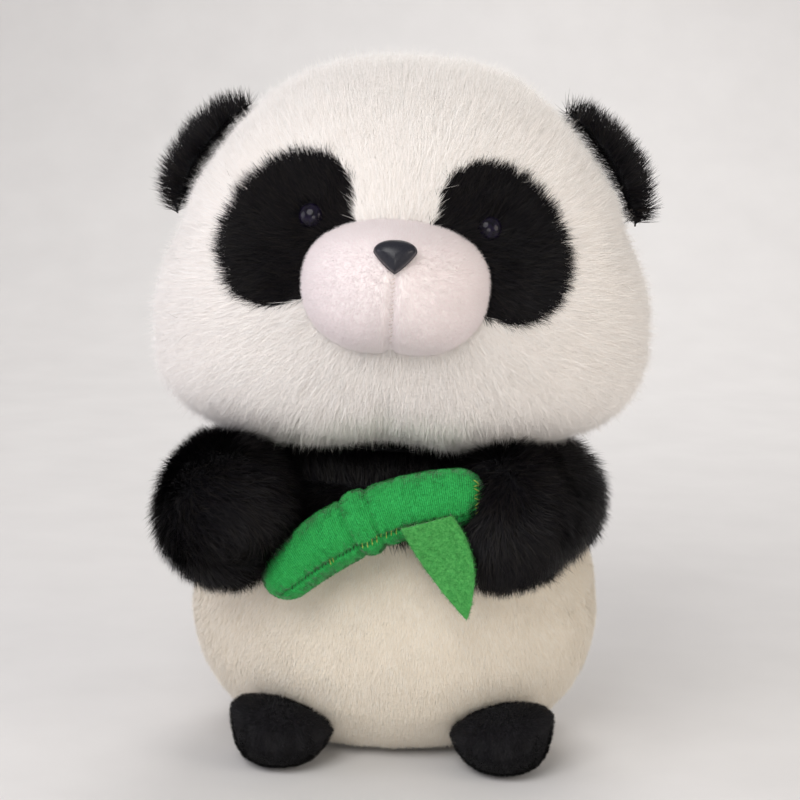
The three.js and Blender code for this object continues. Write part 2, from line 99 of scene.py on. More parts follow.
HEIGHT = CAD_BOX[1].z
FACE_PANELS = ["face_panel_left", "face_panel_right"]
EYE_PATCHES = ["eye_patch_left", "eye_patch_right"]
HEAD_COVERS = [*FACE_PANELS, "head_back_panel", *EYE_PATCHES]
BODY_COVERS = ["shoulder_yoke", "belly_panel_left", "belly_panel_right", "body_back_panel", "base_panel"]

HEAD_LOW, HEAD_HIGH = corners(*HEAD_COVERS)
HEAD_POINTS = np.concatenate([cad_points(node) for node in HEAD_COVERS])
CHEEKS_Z = HEAD_POINTS[np.argmax(HEAD_POINTS[:, 0]), 2]
MUZZLE_LOW, MUZZLE_HIGH = corners("muzzle_cover")
MUZZLE_MIDDLE = middle("muzzle_cover")
YOKE_Z = corners("shoulder_yoke")[0][2]

# The sewn face leans a little to one side, about a point behind the nose.
EYE_LINE = middle("eye_left") - middle("eye_right")
FACE_TILT = math.atan2(-EYE_LINE[2], EYE_LINE[0])
FACE_PIVOT = UP * middle("nose")[2]


def across_face(points):
    """How far each point is to the left of the leaning middle line of the face."""
    offset = points - FACE_PIVOT
    return offset[:, 0] * math.cos(FACE_TILT) - offset[:, 2] * math.sin(FACE_TILT)


def leaning(points):
    """Points of an upright face, turned to its lean."""
    offset = points - FACE_PIVOT
    x = offset[:, 0] * math.cos(FACE_TILT) + offset[:, 2] * math.sin(FACE_TILT)
    z = offset[:, 2] * math.cos(FACE_TILT) - offset[:, 0] * math.sin(FACE_TILT)
    return FACE_PIVOT + np.stack([x, offset[:, 1], z], 1)


# ---- Noise and vectors ----

def unit(vectors):
    return vectors / np.maximum(np.linalg.norm(vectors, axis=-1, keepdims=True), 1e-12)


def along(vectors, normals):
    """The part of each vector that lies in its surface."""
    return vectors - (vectors * normals).sum(-1, keepdims=True) * normals


def bump(distance, reach):
    """Smooth hill: 1 at no distance, near 0 beyond its reach."""
    return np.exp(-(distance / reach) ** 2)


def noise(points, size, seed):
    """Smooth value noise from -1 to 1, with features of a size."""
    cell = points / size
    base = np.floor(cell).astype(np.int64)
    part = cell - base
    part = part * part * (3 - 2 * part)
    total = np.zeros(len(points))
    for corner in itertools.product((0, 1), repeat=3):
        lattice = base + np.array(corner)
        mixed = (lattice * (73856093, 19349663, 83492791)).sum(1) + seed * 374761393
        mixed = ((mixed ^ (mixed >> 13)) * 1274126177) & 0xFFFFFFFF
        value = ((mixed ^ (mixed >> 16)) & 0xFFFF) / 32767.5 - 1
        total += value * np.prod(np.where(corner, part, 1 - part), axis=1)
    return total


def noise_vectors(points, size, seed):
    return np.stack([noise(points, size, seed + axis) for axis in range(3)], axis=1)


# ---- Meshes ----

def mesh_object(name, points, faces, materials, tints=None):
    """A mesh of triangles from arrays of points and corner numbers."""
    mesh = bpy.data.meshes.new(name)
    mesh.vertices.add(len(points))
    mesh.vertices.foreach_set("co", np.asarray(points, np.float32).ravel())
    mesh.loops.add(faces.size)
    mesh.loops.foreach_set("vertex_index", np.asarray(faces, np.int32).ravel())
    mesh.polygons.add(len(faces))
    mesh.polygons.foreach_set("loop_start", np.arange(0, faces.size, faces.shape[1], dtype=np.int32))
    mesh.update(calc_edges=True)
    for material in materials:
        mesh.materials.append(material)
    if tints is not None:
        mesh.polygons.foreach_set("material_index", np.asarray(tints, np.int32))
    mesh.shade_smooth()
    obj = bpy.data.objects.new(name, mesh)
    bpy.context.scene.collection.objects.link(obj)
    return obj


def get_points(mesh):
    points = np.zeros(len(mesh.vertices) * 3, np.float32)
    mesh.vertices.foreach_get("co", points)
    return points.reshape(-1, 3).astype(float)


def get_normals(mesh):
    normals = np.zeros(len(mesh.vertices) * 3, np.float32)
    mesh.vertices.foreach_get("normal", normals)
    return normals.reshape(-1, 3).astype(float)


def set_points(obj, points):
    obj.data.vertices.foreach_set("co", np.asarray(points, np.float32).ravel())
    obj.data.update()


def move_points(obj, move):
    """Moves the points of a mesh by what move(points, normals) returns."""
    points = get_points(obj.data)
    set_points(obj, points + move(points, get_normals(obj.data)))


def icosphere(detail):
    ball = bmesh.new()
    bmesh.ops.create_icosphere(ball, subdivisions=detail, radius=1)
    points = np.array([vertex.co for vertex in ball.verts])
    faces = np.array([[vertex.index for vertex in face.verts] for face in ball.faces])
    ball.free()
    return points, faces


def round_form(name, low, high, waist, material, section=2, upper=2, lower=2, detail=5):
    """A closed form that fills a box and is widest at the waist's height.

    Its level sections and its upright profile are superellipses: an exponent of 2 is round, more is fuller.
    """
    points, faces = icosphere(detail)
    across = (np.abs(points[:, :2]) ** section).sum(1) ** (1 / section)
    profile = np.where(points[:, 2] < 0, lower, upper)
    reach = (across ** profile + np.abs(points[:, 2]) ** profile) ** (-1 / profile)
    centre = (high + low) / 2
    centre[2] = waist
    size = np.tile((high - low) / 2, (len(points), 1))
    size[:, 2] = np.where(points[:, 2] < 0, waist - low[2], high[2] - waist)
    return mesh_object(name, centre + points * reach[:, None] * size, faces, [material])


def largest_island(obj):
    """Keeps the outermost closed surface of a mesh."""
    shape = bmesh.new()
    shape.from_mesh(obj.data)
    unseen = set(shape.verts)
    islands = []
    while unseen:
        start = unseen.pop()
        island, edge = [start], [start]
        while edge:
            neighbours = [e.other_vert(v) for v in edge for e in v.link_edges]
            edge = [v for v in dict.fromkeys(neighbours) if v in unseen]
            unseen.difference_update(edge)
            island.extend(edge)
        islands.append(island)
    islands.sort(key=len)
    bmesh.ops.delete(shape, geom=[v for island in islands[:-1] for v in island], context="VERTS")
    shape.to_mesh(obj.data)
    shape.free()


def apply_modifiers(obj):
    bpy.context.view_layer.update()
    shown = obj.evaluated_get(bpy.context.evaluated_depsgraph_get())
    mesh = bpy.data.meshes.new_from_object(shown)
    obj.modifiers.clear()
    obj.data = mesh


def remeshed(name, nodes, voxel, smoothing, material):
    """One closed skin round some CAD nodes."""
    shape = bmesh.new()
    for node in nodes:
        shape.from_mesh(frame["nodes"][node].data)
    mesh = bpy.data.meshes.new(name)
    shape.to_mesh(mesh)
    shape.free()
    obj = bpy.data.objects.new(name, mesh)
    bpy.context.scene.collection.objects.link(obj)
    remesh = obj.modifiers.new("remesh", "REMESH")
    remesh.mode = "VOXEL"
    remesh.voxel_size = voxel
    smooth = obj.modifiers.new("smooth", "SMOOTH")
    smooth.iterations = smoothing
    smooth.factor = 0.5
    apply_modifiers(obj)
    largest_island(obj)
    obj.data.materials.clear()
    obj.data.materials.append(material)
    obj.data.shade_smooth()
    return obj


def declare(obj, body, nodes=()):
    """Says which body carries a piece, and hides the CAD nodes it replaces."""
    if nodes:
        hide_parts(*nodes)
    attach(obj, body)


def tree(obj):
    """A mesh in a form that can be searched."""
    return BVHTree.FromPolygons([v.co for v in obj.data.vertices], [p.vertices for p in obj.data.polygons])


def within(points, low, high, margin):
    """Which points are inside a box that is grown by a margin."""
    return np.all((points > low - margin) & (points < high + margin), axis=1)


SKIN_MARGIN = 4 * MM                 # how far round a skin its depth is measured


def depth_inside(points, obj):
    """How deep each point is inside a closed skin: negative outside, and lowest beyond the skin's box."""
    skin = tree(obj)
    skin_points = get_points(obj.data)
    near = within(points, skin_points.min(axis=0), skin_points.max(axis=0), SKIN_MARGIN)
    depth = np.full(len(points), -HEIGHT)
    for i in np.flatnonzero(near):
        point = Vector(points[i])
        place, normal, _, distance = skin.find_nearest(point)
        inside = (point - place).dot(normal) < 0
        covered = inside and all(skin.ray_cast(point, Vector(ray))[0] is not None for ray in (UP, -UP))
        depth[i] = distance if covered else -distance
    return depth


def nearest_distance(points, obj):
    """How far each point is from a mesh."""
    skin = tree(obj)
    return np.array([skin.find_nearest(Vector(point))[3] for point in points])


def keep_round(obj, filling, gap=0.5 * MM):
    """Moves a skin's points out where they would be inside its filling, or too close to it."""
    points, normals = get_points(obj.data), get_normals(obj.data)
    depth = depth_inside(points, frame["nodes"][filling])
    set_points(obj, points + normals * np.maximum(depth + gap, 0)[:, None])


def second_material(obj, material, chosen):
    """Gives some faces a second material, chosen by their middles."""
    obj.data.materials.append(material)
    mesh = obj.data
    centres = np.zeros(len(mesh.polygons) * 3, np.float32)
    mesh.polygons.foreach_get("center", centres)
    mesh.polygons.foreach_set("material_index", chosen(centres.reshape(-1, 3).astype(float)).astype(np.int32))


# ---- Filling: cloth under pressure ----

STUFFING_PRESSURE = 4.0
STUFFING_FRAMES = 20
HELD = 0.02                          # seams hold a point only above this firmness
stuffed = []


def stuff(obj, swell, held=None, start_smaller=0.8):
    """Marks a skin to be swelled by its filling.

    held(points) is how firmly the seams hold each point, from 0 to 1.
    """
    start = start_smaller * swell
    move_points(obj, lambda points, normals: -normals * start)
    group = obj.vertex_groups.new(name="seams")
    firmness = held(get_points(obj.data)) if held else np.zeros(len(obj.data.vertices))
    for index in np.flatnonzero(firmness > HELD):
        group.add([int(index)], float(firmness[index]), "REPLACE")
    cloth = obj.modifiers.new("filling", "CLOTH")
    cloth.settings.use_pressure = True
    cloth.settings.uniform_pressure_force = STUFFING_PRESSURE
    cloth.settings.effector_weights.gravity = 0
    cloth.settings.vertex_group_mass = group.name
    cloth.collision_settings.use_collision = False
    cloth.point_cache.frame_start = 1
    cloth.point_cache.frame_end = STUFFING_FRAMES
    stuffed.append((obj, swell, start))


def run_stuffing():
    """Runs the cloth of every marked skin at once, and keeps its result within each skin's swell."""
    scene = bpy.context.scene
    last = STUFFING_FRAMES
    for number in range(1, last + 1):
        scene.frame_set(number)
    graph = bpy.context.evaluated_depsgraph_get()
    for obj, swell, start in stuffed:
        rest = get_points(obj.data)
        moved = get_points(obj.evaluated_get(graph).data) - rest
        obj.modifiers.clear()
        length = np.linalg.norm(moved, axis=1, keepdims=True)
        set_points(obj, rest + moved * np.minimum(1, swell / np.maximum(length, 1e-9)))
        obj.vertex_groups.clear()
    scene.frame_set(1)


# ---- Materials ----

def principled(name, colour, roughness, specular=0.5, sheen=0.0, coat=0.0):
    material = bpy.data.materials.new(name)
    material.use_nodes = True
    shader = material.node_tree.nodes["Principled BSDF"]
    shader.inputs["Base Color"].default_value = (*colour, 1)
    shader.inputs["Roughness"].default_value = roughness
    shader.inputs["Specular IOR Level"].default_value = specular
    shader.inputs["Sheen Weight"].default_value = sheen
    shader.inputs["Sheen Roughness"].default_value = 0.4
    shader.inputs["Coat Weight"].default_value = coat
    shader.inputs["Coat Roughness"].default_value = 0.08
    return material


def link(material, source, target):
    material.node_tree.links.new(source, target)


def node(material, kind, **values):
    made = material.node_tree.nodes.new(kind)
    for name, value in values.items():
        setattr(made, name, value)
    return made


def textured(material, low, high, size, strength, depth, detail=4.0, stretch=(1, 1, 1)):
    """Gives a material a noise that runs between two colours and raises the surface."""
    shader = material.node_tree.nodes["Principled BSDF"]
    place = node(material, "ShaderNodeTexCoord")
    mapping = node(material, "ShaderNodeMapping")
    mapping.inputs["Scale"].default_value = stretch
    grain = node(material, "ShaderNodeTexNoise")
    grain.inputs["Scale"].default_value = 1 / size
    grain.inputs["Detail"].default_value = detail
    colours = node(material, "ShaderNodeValToRGB")
    colours.color_ramp.elements[0].position = 0.3
    colours.color_ramp.elements[1].position = 0.7
    colours.color_ramp.elements[0].color = (*low, 1)
    colours.color_ramp.elements[1].color = (*high, 1)
    relief = node(material, "ShaderNodeBump")
    relief.inputs["Strength"].default_value = strength
    relief.inputs["Distance"].default_value = depth
    link(material, place.outputs["Object"], mapping.inputs["Vector"])
    link(material, mapping.outputs["Vector"], grain.inputs["Vector"])
    link(material, grain.outputs["Fac"], colours.inputs["Fac"])
    link(material, colours.outputs["Color"], shader.inputs["Base Color"])
    link(material, grain.outputs["Fac"], relief.inputs["Height"])
    link(material, relief.outputs["Normal"], shader.inputs["Normal"])
    return material


def cloth_material(name, low, high, size=1.2 * MM, depth=0.3 * MM, sheen=0.3):
    return textured(principled(name, high, 0.95, 0.2, sheen), low, high, size, 0.6, depth)


WHITE_CLOTH = cloth_material("white_backing", (0.80, 0.78, 0.75), (0.90, 0.88, 0.86))
MUZZLE_CLOTH = cloth_material("muzzle_plush", (0.86, 0.81, 0.80), (0.93, 0.88, 0.87),
                              0.9 * MM, 0.12 * MM, 0.5)
BELLY_CLOTH = cloth_material("belly_plush", (0.78, 0.73, 0.64), (0.88, 0.84, 0.76))
BLACK_CLOTH = cloth_material("black_backing", (0.004, 0.004, 0.005), (0.010, 0.010, 0.012), sheen=0.05)
FOOT_CLOTH = cloth_material("foot_plush", (0.004, 0.004, 0.005), (0.012, 0.011, 0.014),
                            0.8 * MM, 0.2 * MM, 0.1)
FELT_CLOTH = cloth_material("green_felt", (0.04, 0.26, 0.055), (0.085, 0.37, 0.09), 0.8 * MM, 0.2 * MM, 0.3)
FIBRE_CLOTH = cloth_material("polyester_fibre", (0.75, 0.75, 0.74), (0.9, 0.9, 0.89), 2 * MM, 1 * MM)
THREAD_CLOTH = cloth_material("pale_thread", (0.62, 0.50, 0.44), (0.80, 0.70, 0.64), 0.3 * MM, 0.05 * MM)
BLACK_THREAD_CLOTH = cloth_material("black_thread", (0.005, 0.005, 0.006), (0.02, 0.02, 0.022),
                                    0.3 * MM, 0.05 * MM)
DARK_THREAD_CLOTH = cloth_material("dark_green_thread", (0.002, 0.05, 0.012), (0.006, 0.10, 0.022),
                                   0.3 * MM, 0.05 * MM)
GREEN_THREAD_CLOTH = cloth_material("green_thread", (0.20, 0.30, 0.04), (0.42, 0.50, 0.10),
                                    0.3 * MM, 0.05 * MM)
# The eyes are near black; their violet cast is painted reflection, for the violet streaks of light on them.
EYE_PLASTIC = textured(principled("eye_plastic", (0.004, 0.003, 0.009), 0.16, 0.22),
                       (0.002, 0.002, 0.004), (0.008, 0.005, 0.018), 1.5 * MM, 0.15, 0.05 * MM)
NOSE_PLASTIC = textured(principled("nose_plastic", (0.012, 0.013, 0.020), 0.32, 0.35),
                        (0.009, 0.010, 0.016), (0.016, 0.016, 0.024), 0.5 * MM, 0.25, 0.03 * MM)
WASHER_PLASTIC = textured(principled("washer_plastic", (0.8, 0.8, 0.77), 0.5),
                          (0.72, 0.72, 0.69), (0.83, 0.83, 0.80), 1.5 * MM, 0.1, 0.02 * MM)


def tints(name, colours, roughness, specular, sheen):
    """Strand materials of slightly different colours, as the fibres of one pile have; a list may also end in
    a paler strand that paints highlights.
    """
    return [principled(f"{name}_{i}", colour, roughness, specular, sheen) for i, colour in enumerate(colours)]


WHITE_TINTS = tints("white_fur",
                    [(0.96, 0.92, 0.89), (0.94, 0.89, 0.85), (0.97, 0.95, 0.93)],
                    0.6, 0.25, 0.3)
MUZZLE_TINTS = tints("muzzle_pile",
                     [(0.92, 0.83, 0.84), (0.90, 0.80, 0.81), (0.94, 0.87, 0.88)],
                     0.7, 0.2, 0.3)
BELLY_TINTS = tints("belly_pile",
                    [(0.90, 0.83, 0.72), (0.87, 0.79, 0.67), (0.92, 0.87, 0.78)],
                    0.7, 0.2, 0.3)
# The fourth black tint, pale grey, is painted highlight: glints of light on the black fur.
BLACK_TINTS = tints("black_fur",
                    [(0.003, 0.003, 0.004), (0.006, 0.005, 0.007), (0.014, 0.012, 0.011), (0.20, 0.19, 0.19)],
                    0.42, 0.12, 0.0)
FOOT_TINTS = tints("foot_pile", [(0.004, 0.004, 0.005), (0.008, 0.007, 0.009)], 0.6, 0.2, 0.03)
GREEN_TINTS = tints("green_pile",
                    [(0.02, 0.34, 0.065), (0.04, 0.44, 0.10), (0.012, 0.25, 0.045)],
                    0.8, 0.2, 0.2)
FELT_TINTS = tints("felt_fibre",
                   [(0.045, 0.30, 0.06), (0.09, 0.38, 0.10), (0.025, 0.20, 0.035)],
                   0.8, 0.2, 0.2)


# ---- Pile: thin tapered strands on a skin ----

@dataclass
class Pile:
    length: float
    width: float
    density: float          # strands per square metre
    lean: float             # degrees from upright
    spread: float           # how far single strands stray
    tufting: float          # how far neighbours stray together
    bend: float             # how far a tip is carried on in its direction of lean
    segments: int
    softness: float         # how far a strand's shading follows the skin's
    tints: list             # its strands' materials
    shares: tuple           # how common each of them is
    slot: str


PER_MM2 = 1e6
PALE_SHARES = (0.4, 0.3, 0.3)
BLACK_SHARES = (0.35, 0.33, 0.30, 0.02)     # the last tint is a pale grey strand, painted highlight for the glints of light along the black fur
WHITE_PILE = Pile(6.8 * MM, 0.18 * MM, 12 * PER_MM2, 43, 0.26, 0.15, 0, 1, 0.9,
                  WHITE_TINTS, PALE_SHARES, "white_fur")
GUARD_PILE = Pile(9.5 * MM, 0.13 * MM, 0.8 * PER_MM2, 34, 0.4, 0.3, 0.25, 2, 0.8,
                  WHITE_TINTS, PALE_SHARES, "white_fur")
BLACK_PILE = Pile(7.5 * MM, 0.24 * MM, 4.5 * PER_MM2, 42, 0.25, 0.4, 0.2, 2, 0.3,
                  BLACK_TINTS, BLACK_SHARES, "black_fur")
PATCH_PILE = Pile(6 * MM, 0.22 * MM, 6.5 * PER_MM2, 38, 0.3, 0.5, 0.2, 2, 0.15,
                  BLACK_TINTS, BLACK_SHARES, "black_fur")
MUZZLE_PILE = Pile(1.3 * MM, 0.16 * MM, 14 * PER_MM2, 40, 0.3, 0.12, 0, 1, 0.9,
                   MUZZLE_TINTS, PALE_SHARES, "muzzle_plush")
BELLY_PILE = Pile(2.6 * MM, 0.22 * MM, 9 * PER_MM2, 52, 0.25, 0.15, 0.2, 1, 0.88,
                  BELLY_TINTS, PALE_SHARES, "belly_plush")
FOOT_PILE = Pile(1.6 * MM, 0.22 * MM, 9 * PER_MM2, 45, 0.3, 0.2, 0, 1, 0.4,
                 FOOT_TINTS, (0.5, 0.5), "foot_plush")
KNIT_PILE = Pile(0.8 * MM, 0.16 * MM, 12 * PER_MM2, 45, 0.5, 0.2, 0, 1, 0.6,
                 GREEN_TINTS, (0.4, 0.35, 0.25), "green_knit")
FELT_PILE = Pile(1.3 * MM, 0.12 * MM, 10 * PER_MM2, 72, 0.5, 0.3, 0, 1, 0.6,
                 FELT_TINTS, PALE_SHARES, "green_felt")

MOST_TRIANGLES = 190_000             # in one piece of pile
FLOOR_CLEAR = 0.3 * MM               # lowest height of a strand
TUFT = 5 * MM                        # size of the tufts in which neighbouring strands stray together
TUFT_LEAN = 0.25                     # share by which a tuft's lean changes
TUFT_GROWTH = 0.12                   # share by which a tuft's length changes
LEAN_LIMITS = (0.05, 1.45)           # radians from upright
LENGTH_SHARES = (0.62, 1.08)         # shortest and longest strand of a pile
WIDTH_SHARES = (0.7, 1.2)
STRAND_TWIST = 0.35                  # radians
TINT_PATCH = 9 * MM                  # size of the areas in which one tint is more common
TINT_DRIFT = 0.1                     # how much more common


def scatter(obj, density, draw):
    """Points spread over a skin, with its smooth normals there."""
    mesh = obj.data
    mesh.calc_loop_triangles()
    faces = np.zeros(len(mesh.loop_triangles) * 3, np.int32)
    mesh.loop_triangles.foreach_get("vertices", faces)
    faces = faces.reshape(-1, 3)
    points, normals = get_points(mesh), get_normals(mesh)
    a, b, c = (points[faces[:, i]] for i in range(3))
    area = np.linalg.norm(np.cross(b - a, c - a), axis=1) / 2
    chosen = faces[draw.choice(len(faces), int(area.sum() * density), p=area / area.sum())]
    weights = draw.dirichlet((1, 1, 1), len(chosen))
    roots = np.einsum("ij,ijk->ik", weights, points[chosen])
    return roots, unit(np.einsum("ij,ijk->ik", weights, normals[chosen]))


def strands(roots, normals, comb, pile, draw, seed):
    """Points and faces of one tapered blade for each root, and the shading normals of its points."""
    count, segments = len(roots), pile.segments
    toward = unit(along(comb, normals) + 1e-6)
    toward = toward + pile.tufting * noise_vectors(roots, TUFT, seed)
    toward = toward + pile.spread * draw.normal(size=(count, 3))
    toward = unit(along(toward, normals))
    stray = TUFT_LEAN * noise(roots, TUFT, seed + 7) + pile.spread * draw.normal(size=count)
    lean = np.clip(np.radians(pile.lean) * (1 + stray), *LEAN_LIMITS)[:, None]
    direction = np.cos(lean) * normals + np.sin(lean) * toward
    length = pile.length * draw.uniform(*LENGTH_SHARES, (count, 1))
    length *= 1 + TUFT_GROWTH * noise(roots, TUFT, seed + 8)[:, None]
    twist = draw.normal(scale=STRAND_TWIST, size=(count, 1))
    side = unit(np.cross(direction, normals) + 1e-6)
    side = unit(side * np.cos(twist) + np.cross(direction, side) * np.sin(twist))

    shares = np.linspace(0, 1, segments + 1)
    width = pile.width * draw.uniform(*WIDTH_SHARES, (count, 1))
    carried = pile.bend * (toward - 0.3 * normals)
    points, shading = [], []
    for share in shares:
        centre = roots + length * (direction * share + share ** 2 * carried)
        heading = unit(direction + 2 * share * carried)
        facing = unit(np.cross(side, heading))
        facing *= np.sign((facing * normals).sum(1, keepdims=True) + 1e-9)
        shade = unit(facing * (1 - pile.softness) + normals * pile.softness)
        centre[:, 2] = np.maximum(centre[:, 2], FLOOR_CLEAR)
        half = width / 2 * (1 - share ** 1.5)
        ends = [centre - side * half, centre + side * half] if share < 1 else [centre]
        points.extend(ends)
        shading.extend([shade] * len(ends))
    size = 2 * segments + 1
    points = np.stack(points, 1).reshape(-1, 3)
    shading = np.stack(shading, 1).reshape(-1, 3)
    blade = [[2 * j, 2 * j + 1, 2 * j + 2] for j in range(segments)]
    blade += [[2 * j + 1, 2 * j + 3, 2 * j + 2] for j in range(segments - 1)]
    faces = (np.arange(count)[:, None, None] * size + np.array(blade)).reshape(-1, 3)
    return points, faces, shading


def grow(name, roots, normals, comb, pile, body, seed, chosen=slice(None)):
    """Pieces of pile on the chosen roots, each small enough to export."""
    roots, normals, comb = roots[chosen], normals[chosen], comb[chosen]
    draw = np.random.default_rng(seed)
    per_strand = 2 * pile.segments - 1
    parts = -(-len(roots) * per_strand // MOST_TRIANGLES)
    pieces = []
    for part in range(parts):
        lot = slice(part, None, parts)
        points, faces, shading = strands(roots[lot], normals[lot], comb[lot], pile, draw, seed)
        chance = draw.random(len(roots[lot])) * (1 - 2 * TINT_DRIFT)
        chance += TINT_DRIFT * (1 + noise(roots[lot], TINT_PATCH, seed + 3))
        tint = np.searchsorted(np.cumsum(pile.shares)[:-1], chance)
        suffix = f"_{part + 1}" if parts > 1 else ""
        obj = mesh_object(name + suffix, points, faces, pile.tints, np.repeat(tint, per_strand))
        obj.data.normals_split_custom_set_from_vertices(shading)
        declare(obj, body)
        pieces.append(obj)
    return pieces


# ---- Head ----

CHIN_NOTCH = 5.5 * MM                # how deep the chin seam draws the cover in between the cheeks
CHIN_CREASE = 1.6 * MM               # and at the seam itself
TEMPLE_PINCH = 3.5 * MM              # how much narrower the head is under each ear
TEMPLE_Z = CHEEKS_Z + 32 * MM
EYE_HOLLOW = 3.2 * MM                # how deep the eyes are pulled in
EAR_SEAT = 12 * MM                   # how deep the ears' seams draw the head in


def falling_share(height, top, bottom):
    """0 above the top height, 1 at the bottom one."""
    return np.clip((top - height) / (top - bottom), 0, 1)


def head_seam_hold(points):
    """How firmly the chin seam holds the head's cover."""
    chin_low, chin_high = corners("chin_seam_thread")
    on_seam = bump(across_face(points), 3 * MM) * (points[:, 1] < 0)
    return on_seam * falling_share(points[:, 2], chin_high[2], chin_low[2])


def chin_notch(points, normals):
    """The chin seam draws the cover in between the two cheeks."""
    drop = falling_share(points[:, 2], CHEEKS_Z - 12 * MM, HEAD_LOW[2])
    front = np.clip(-points[:, 1] / (20 * MM), 0, 1)
    across = across_face(points)
    pull = CHIN_NOTCH * bump(across, 14 * MM) * drop ** 1.5 * front
    crease = CHIN_CREASE * bump(across, 2.5 * MM) * np.clip(drop * 3, 0, 1) * front
    return -normals * (pull + crease)[:, None]


def temple_pinch(points, normals):
    """The head is narrower under the ears than a rounded form."""
    inward = -np.sign(points[:, 0]) * (np.abs(points[:, 0]) / HEAD_HIGH[0]) ** 2
    pinch = TEMPLE_PINCH * bump(points[:, 2] - TEMPLE_Z, 14 * MM) * inward
    return pinch[:, None] * np.array((1.0, 0.0, 0.0))


def eye_hollows(points, normals):
    """The eyes are pulled in on their posts."""
    sunk = np.zeros(len(points))
    for side in SIDES:
        distance = np.linalg.norm(points - middle(f"eye_{side}"), axis=1)
        sunk += EYE_HOLLOW * bump(distance, 12 * MM)
    return -normals * sunk[:, None]


def ear_seats(points, normals):
    """The seam of each ear draws the head in."""
    drawn = np.zeros(len(points))
    for side in SIDES:
        seat = pivot(f"ear_{side}_flex")
        length = np.abs((points - seat) @ joint_axis(f"ear_{side}_flex"))
        depth = points[:, 1] - seat[1]
        reach = np.where(depth < 0, 26 * MM, 11 * MM)
        same_side = points[:, 0] * SIDES[side] > 0
        drawn += EAR_SEAT * bump(length, 24 * MM) * bump(depth, reach) * same_side
    return -normals * drawn[:, None]


PATCH_MARGIN = 2 * MM                # how far outside a patch's box its points may be


def patch_mask(points, side):
    """Which points of the head lie on an eye patch."""
    near = within(points, *corners(f"eye_patch_{side}"), PATCH_MARGIN)
    mask = np.zeros(len(points), bool)
    candidates = points[near]
    to_patch = nearest_distance(candidates, frame["nodes"][f"eye_patch_{side}"])
    to_face = nearest_distance(candidates, frame["nodes"][f"face_panel_{side}"])
    mask[near] = to_patch < to_face
    return mask


head = round_form("head_cushion", HEAD_LOW + 1.5 * MM, HEAD_HIGH - 1.5 * MM, CHEEKS_Z, WHITE_CLOTH,
                  section=2.3, upper=2.25, lower=3.2, detail=6)
move_points(head, chin_notch)
move_points(head, temple_pinch)
move_points(head, ear_seats)
move_points(head, eye_hollows)
stuff(head, 1.5 * MM, head_seam_hold)
second_material(head, BLACK_CLOTH, lambda centres: patch_mask(centres, "left") | patch_mask(centres, "right"))


# ---- Muzzle ----

MUZZLE_SAG = 2 * MM                  # how far the soft lobes hang
MUZZLE_SEAM = 1.3 * MM               # half the width of the seam's crease
MUZZLE_NOTCH = 1.8 * MM              # how far the seam draws in between the lobes at their bottom


def muzzle_seam_hold(points):
    """How firmly the middle seam holds the muzzle's cover: more towards its bottom."""
    share = falling_share(points[:, 2], MUZZLE_HIGH[2] - 12 * MM, MUZZLE_LOW[2])
    return np.clip(bump(across_face(points), MUZZLE_SEAM) * (0.3 + share), 0, 1)


def muzzle_lobes(points, normals):
    """The middle seam parts the muzzle into two lobes, from under the nose down."""
    share = falling_share(points[:, 2], MUZZLE_HIGH[2] - 14 * MM, MUZZLE_LOW[2])
    across = across_face(points)
    crease = bump(across, MUZZLE_SEAM) * (0.9 + 0.5 * share) * MM * (share > 0)
    notch = MUZZLE_NOTCH * bump(across, 9 * MM) * share ** 2
    return -normals * (crease + notch)[:, None]


def make_muzzle():
    """The muzzle's form is made upright, then leans with the face. Its back half is inside the head."""
    inset = 0.8 * MM
    deep = MUZZLE_HIGH[1] - MUZZLE_LOW[1]
    shift = np.array((MUZZLE_MIDDLE[0], 0, 0))
    low = MUZZLE_LOW + inset - shift - MUZZLE_SAG * UP
    high = MUZZLE_HIGH - inset - shift - deep * FRONT
    form = round_form("muzzle_cushion", low, high, MUZZLE_MIDDLE[2], MUZZLE_CLOTH,
                      upper=2.3, lower=2.3, detail=6)
    set_points(form, leaning(get_points(form.data)))
    return form


muzzle = make_muzzle()
move_points(muzzle, muzzle_lobes)
stuff(muzzle, 1.2 * MM, muzzle_seam_hold)


# ---- Body, arms, ears, feet and tail ----

def body_seam_hold(points):
    """How firmly the seams of the yoke, the belly, the sides and the base hold the body's cover."""
    yoke = bump(points[:, 2] - YOKE_Z, 2 * MM)
    belly = bump(points[:, 0], 1.5 * MM) * (points[:, 1] < 0)
    sides = bump(points[:, 1] - corners("body_back_panel")[0][1], 1.5 * MM)
    base = points[:, 2] < 2 * MM
    return np.clip(0.8 * yoke + 0.5 * belly + 0.5 * sides + base, 0, 1)


body = remeshed("body_cushion", [*BODY_COVERS, "body_stuffing"], 3 * MM, 6, BELLY_CLOTH)
stuff(body, 1.5 * MM, body_seam_hold)
second_material(body, BLACK_CLOTH, lambda centres: centres[:, 2] > YOKE_Z)

EAR_ROOT = 5 * MM                            # height of the part of an ear that is carried into the head
ARM_RISE = {"left": 3.5 * MM, "right": 2.5 * MM}
# Where each corner of a foot is, across and up, in shares of half the foot's size, and how far it is pulled.
FOOT_CORNERS = ((0.85, 0.65, 4 * MM), (-1, 0.1, 2.4 * MM))


def reach_into_head(obj, side):
    """Carries an ear's root on into the head, where the head's cover is drawn in."""
    axis = joint_axis(f"ear_{side}_flex")
    outward = unit(np.cross(axis, FRONT))
    outward = outward if outward[2] > 0 else -outward
    points = get_points(obj.data)
    height = (points - pivot(f"ear_{side}_flex")) @ outward
    share = np.clip((EAR_ROOT - height) / EAR_ROOT, 0, 1)
    set_points(obj, points - outward * (EAR_SEAT * share)[:, None])


def lift_tops(obj, rise):
    """The arms' tops are pushed up against the cheeks."""
    heights = get_points(obj.data)[:, 2:]
    share = (heights - heights.min()) / (heights.max() - heights.min())
    move_points(obj, lambda points, normals: rise * UP * share)


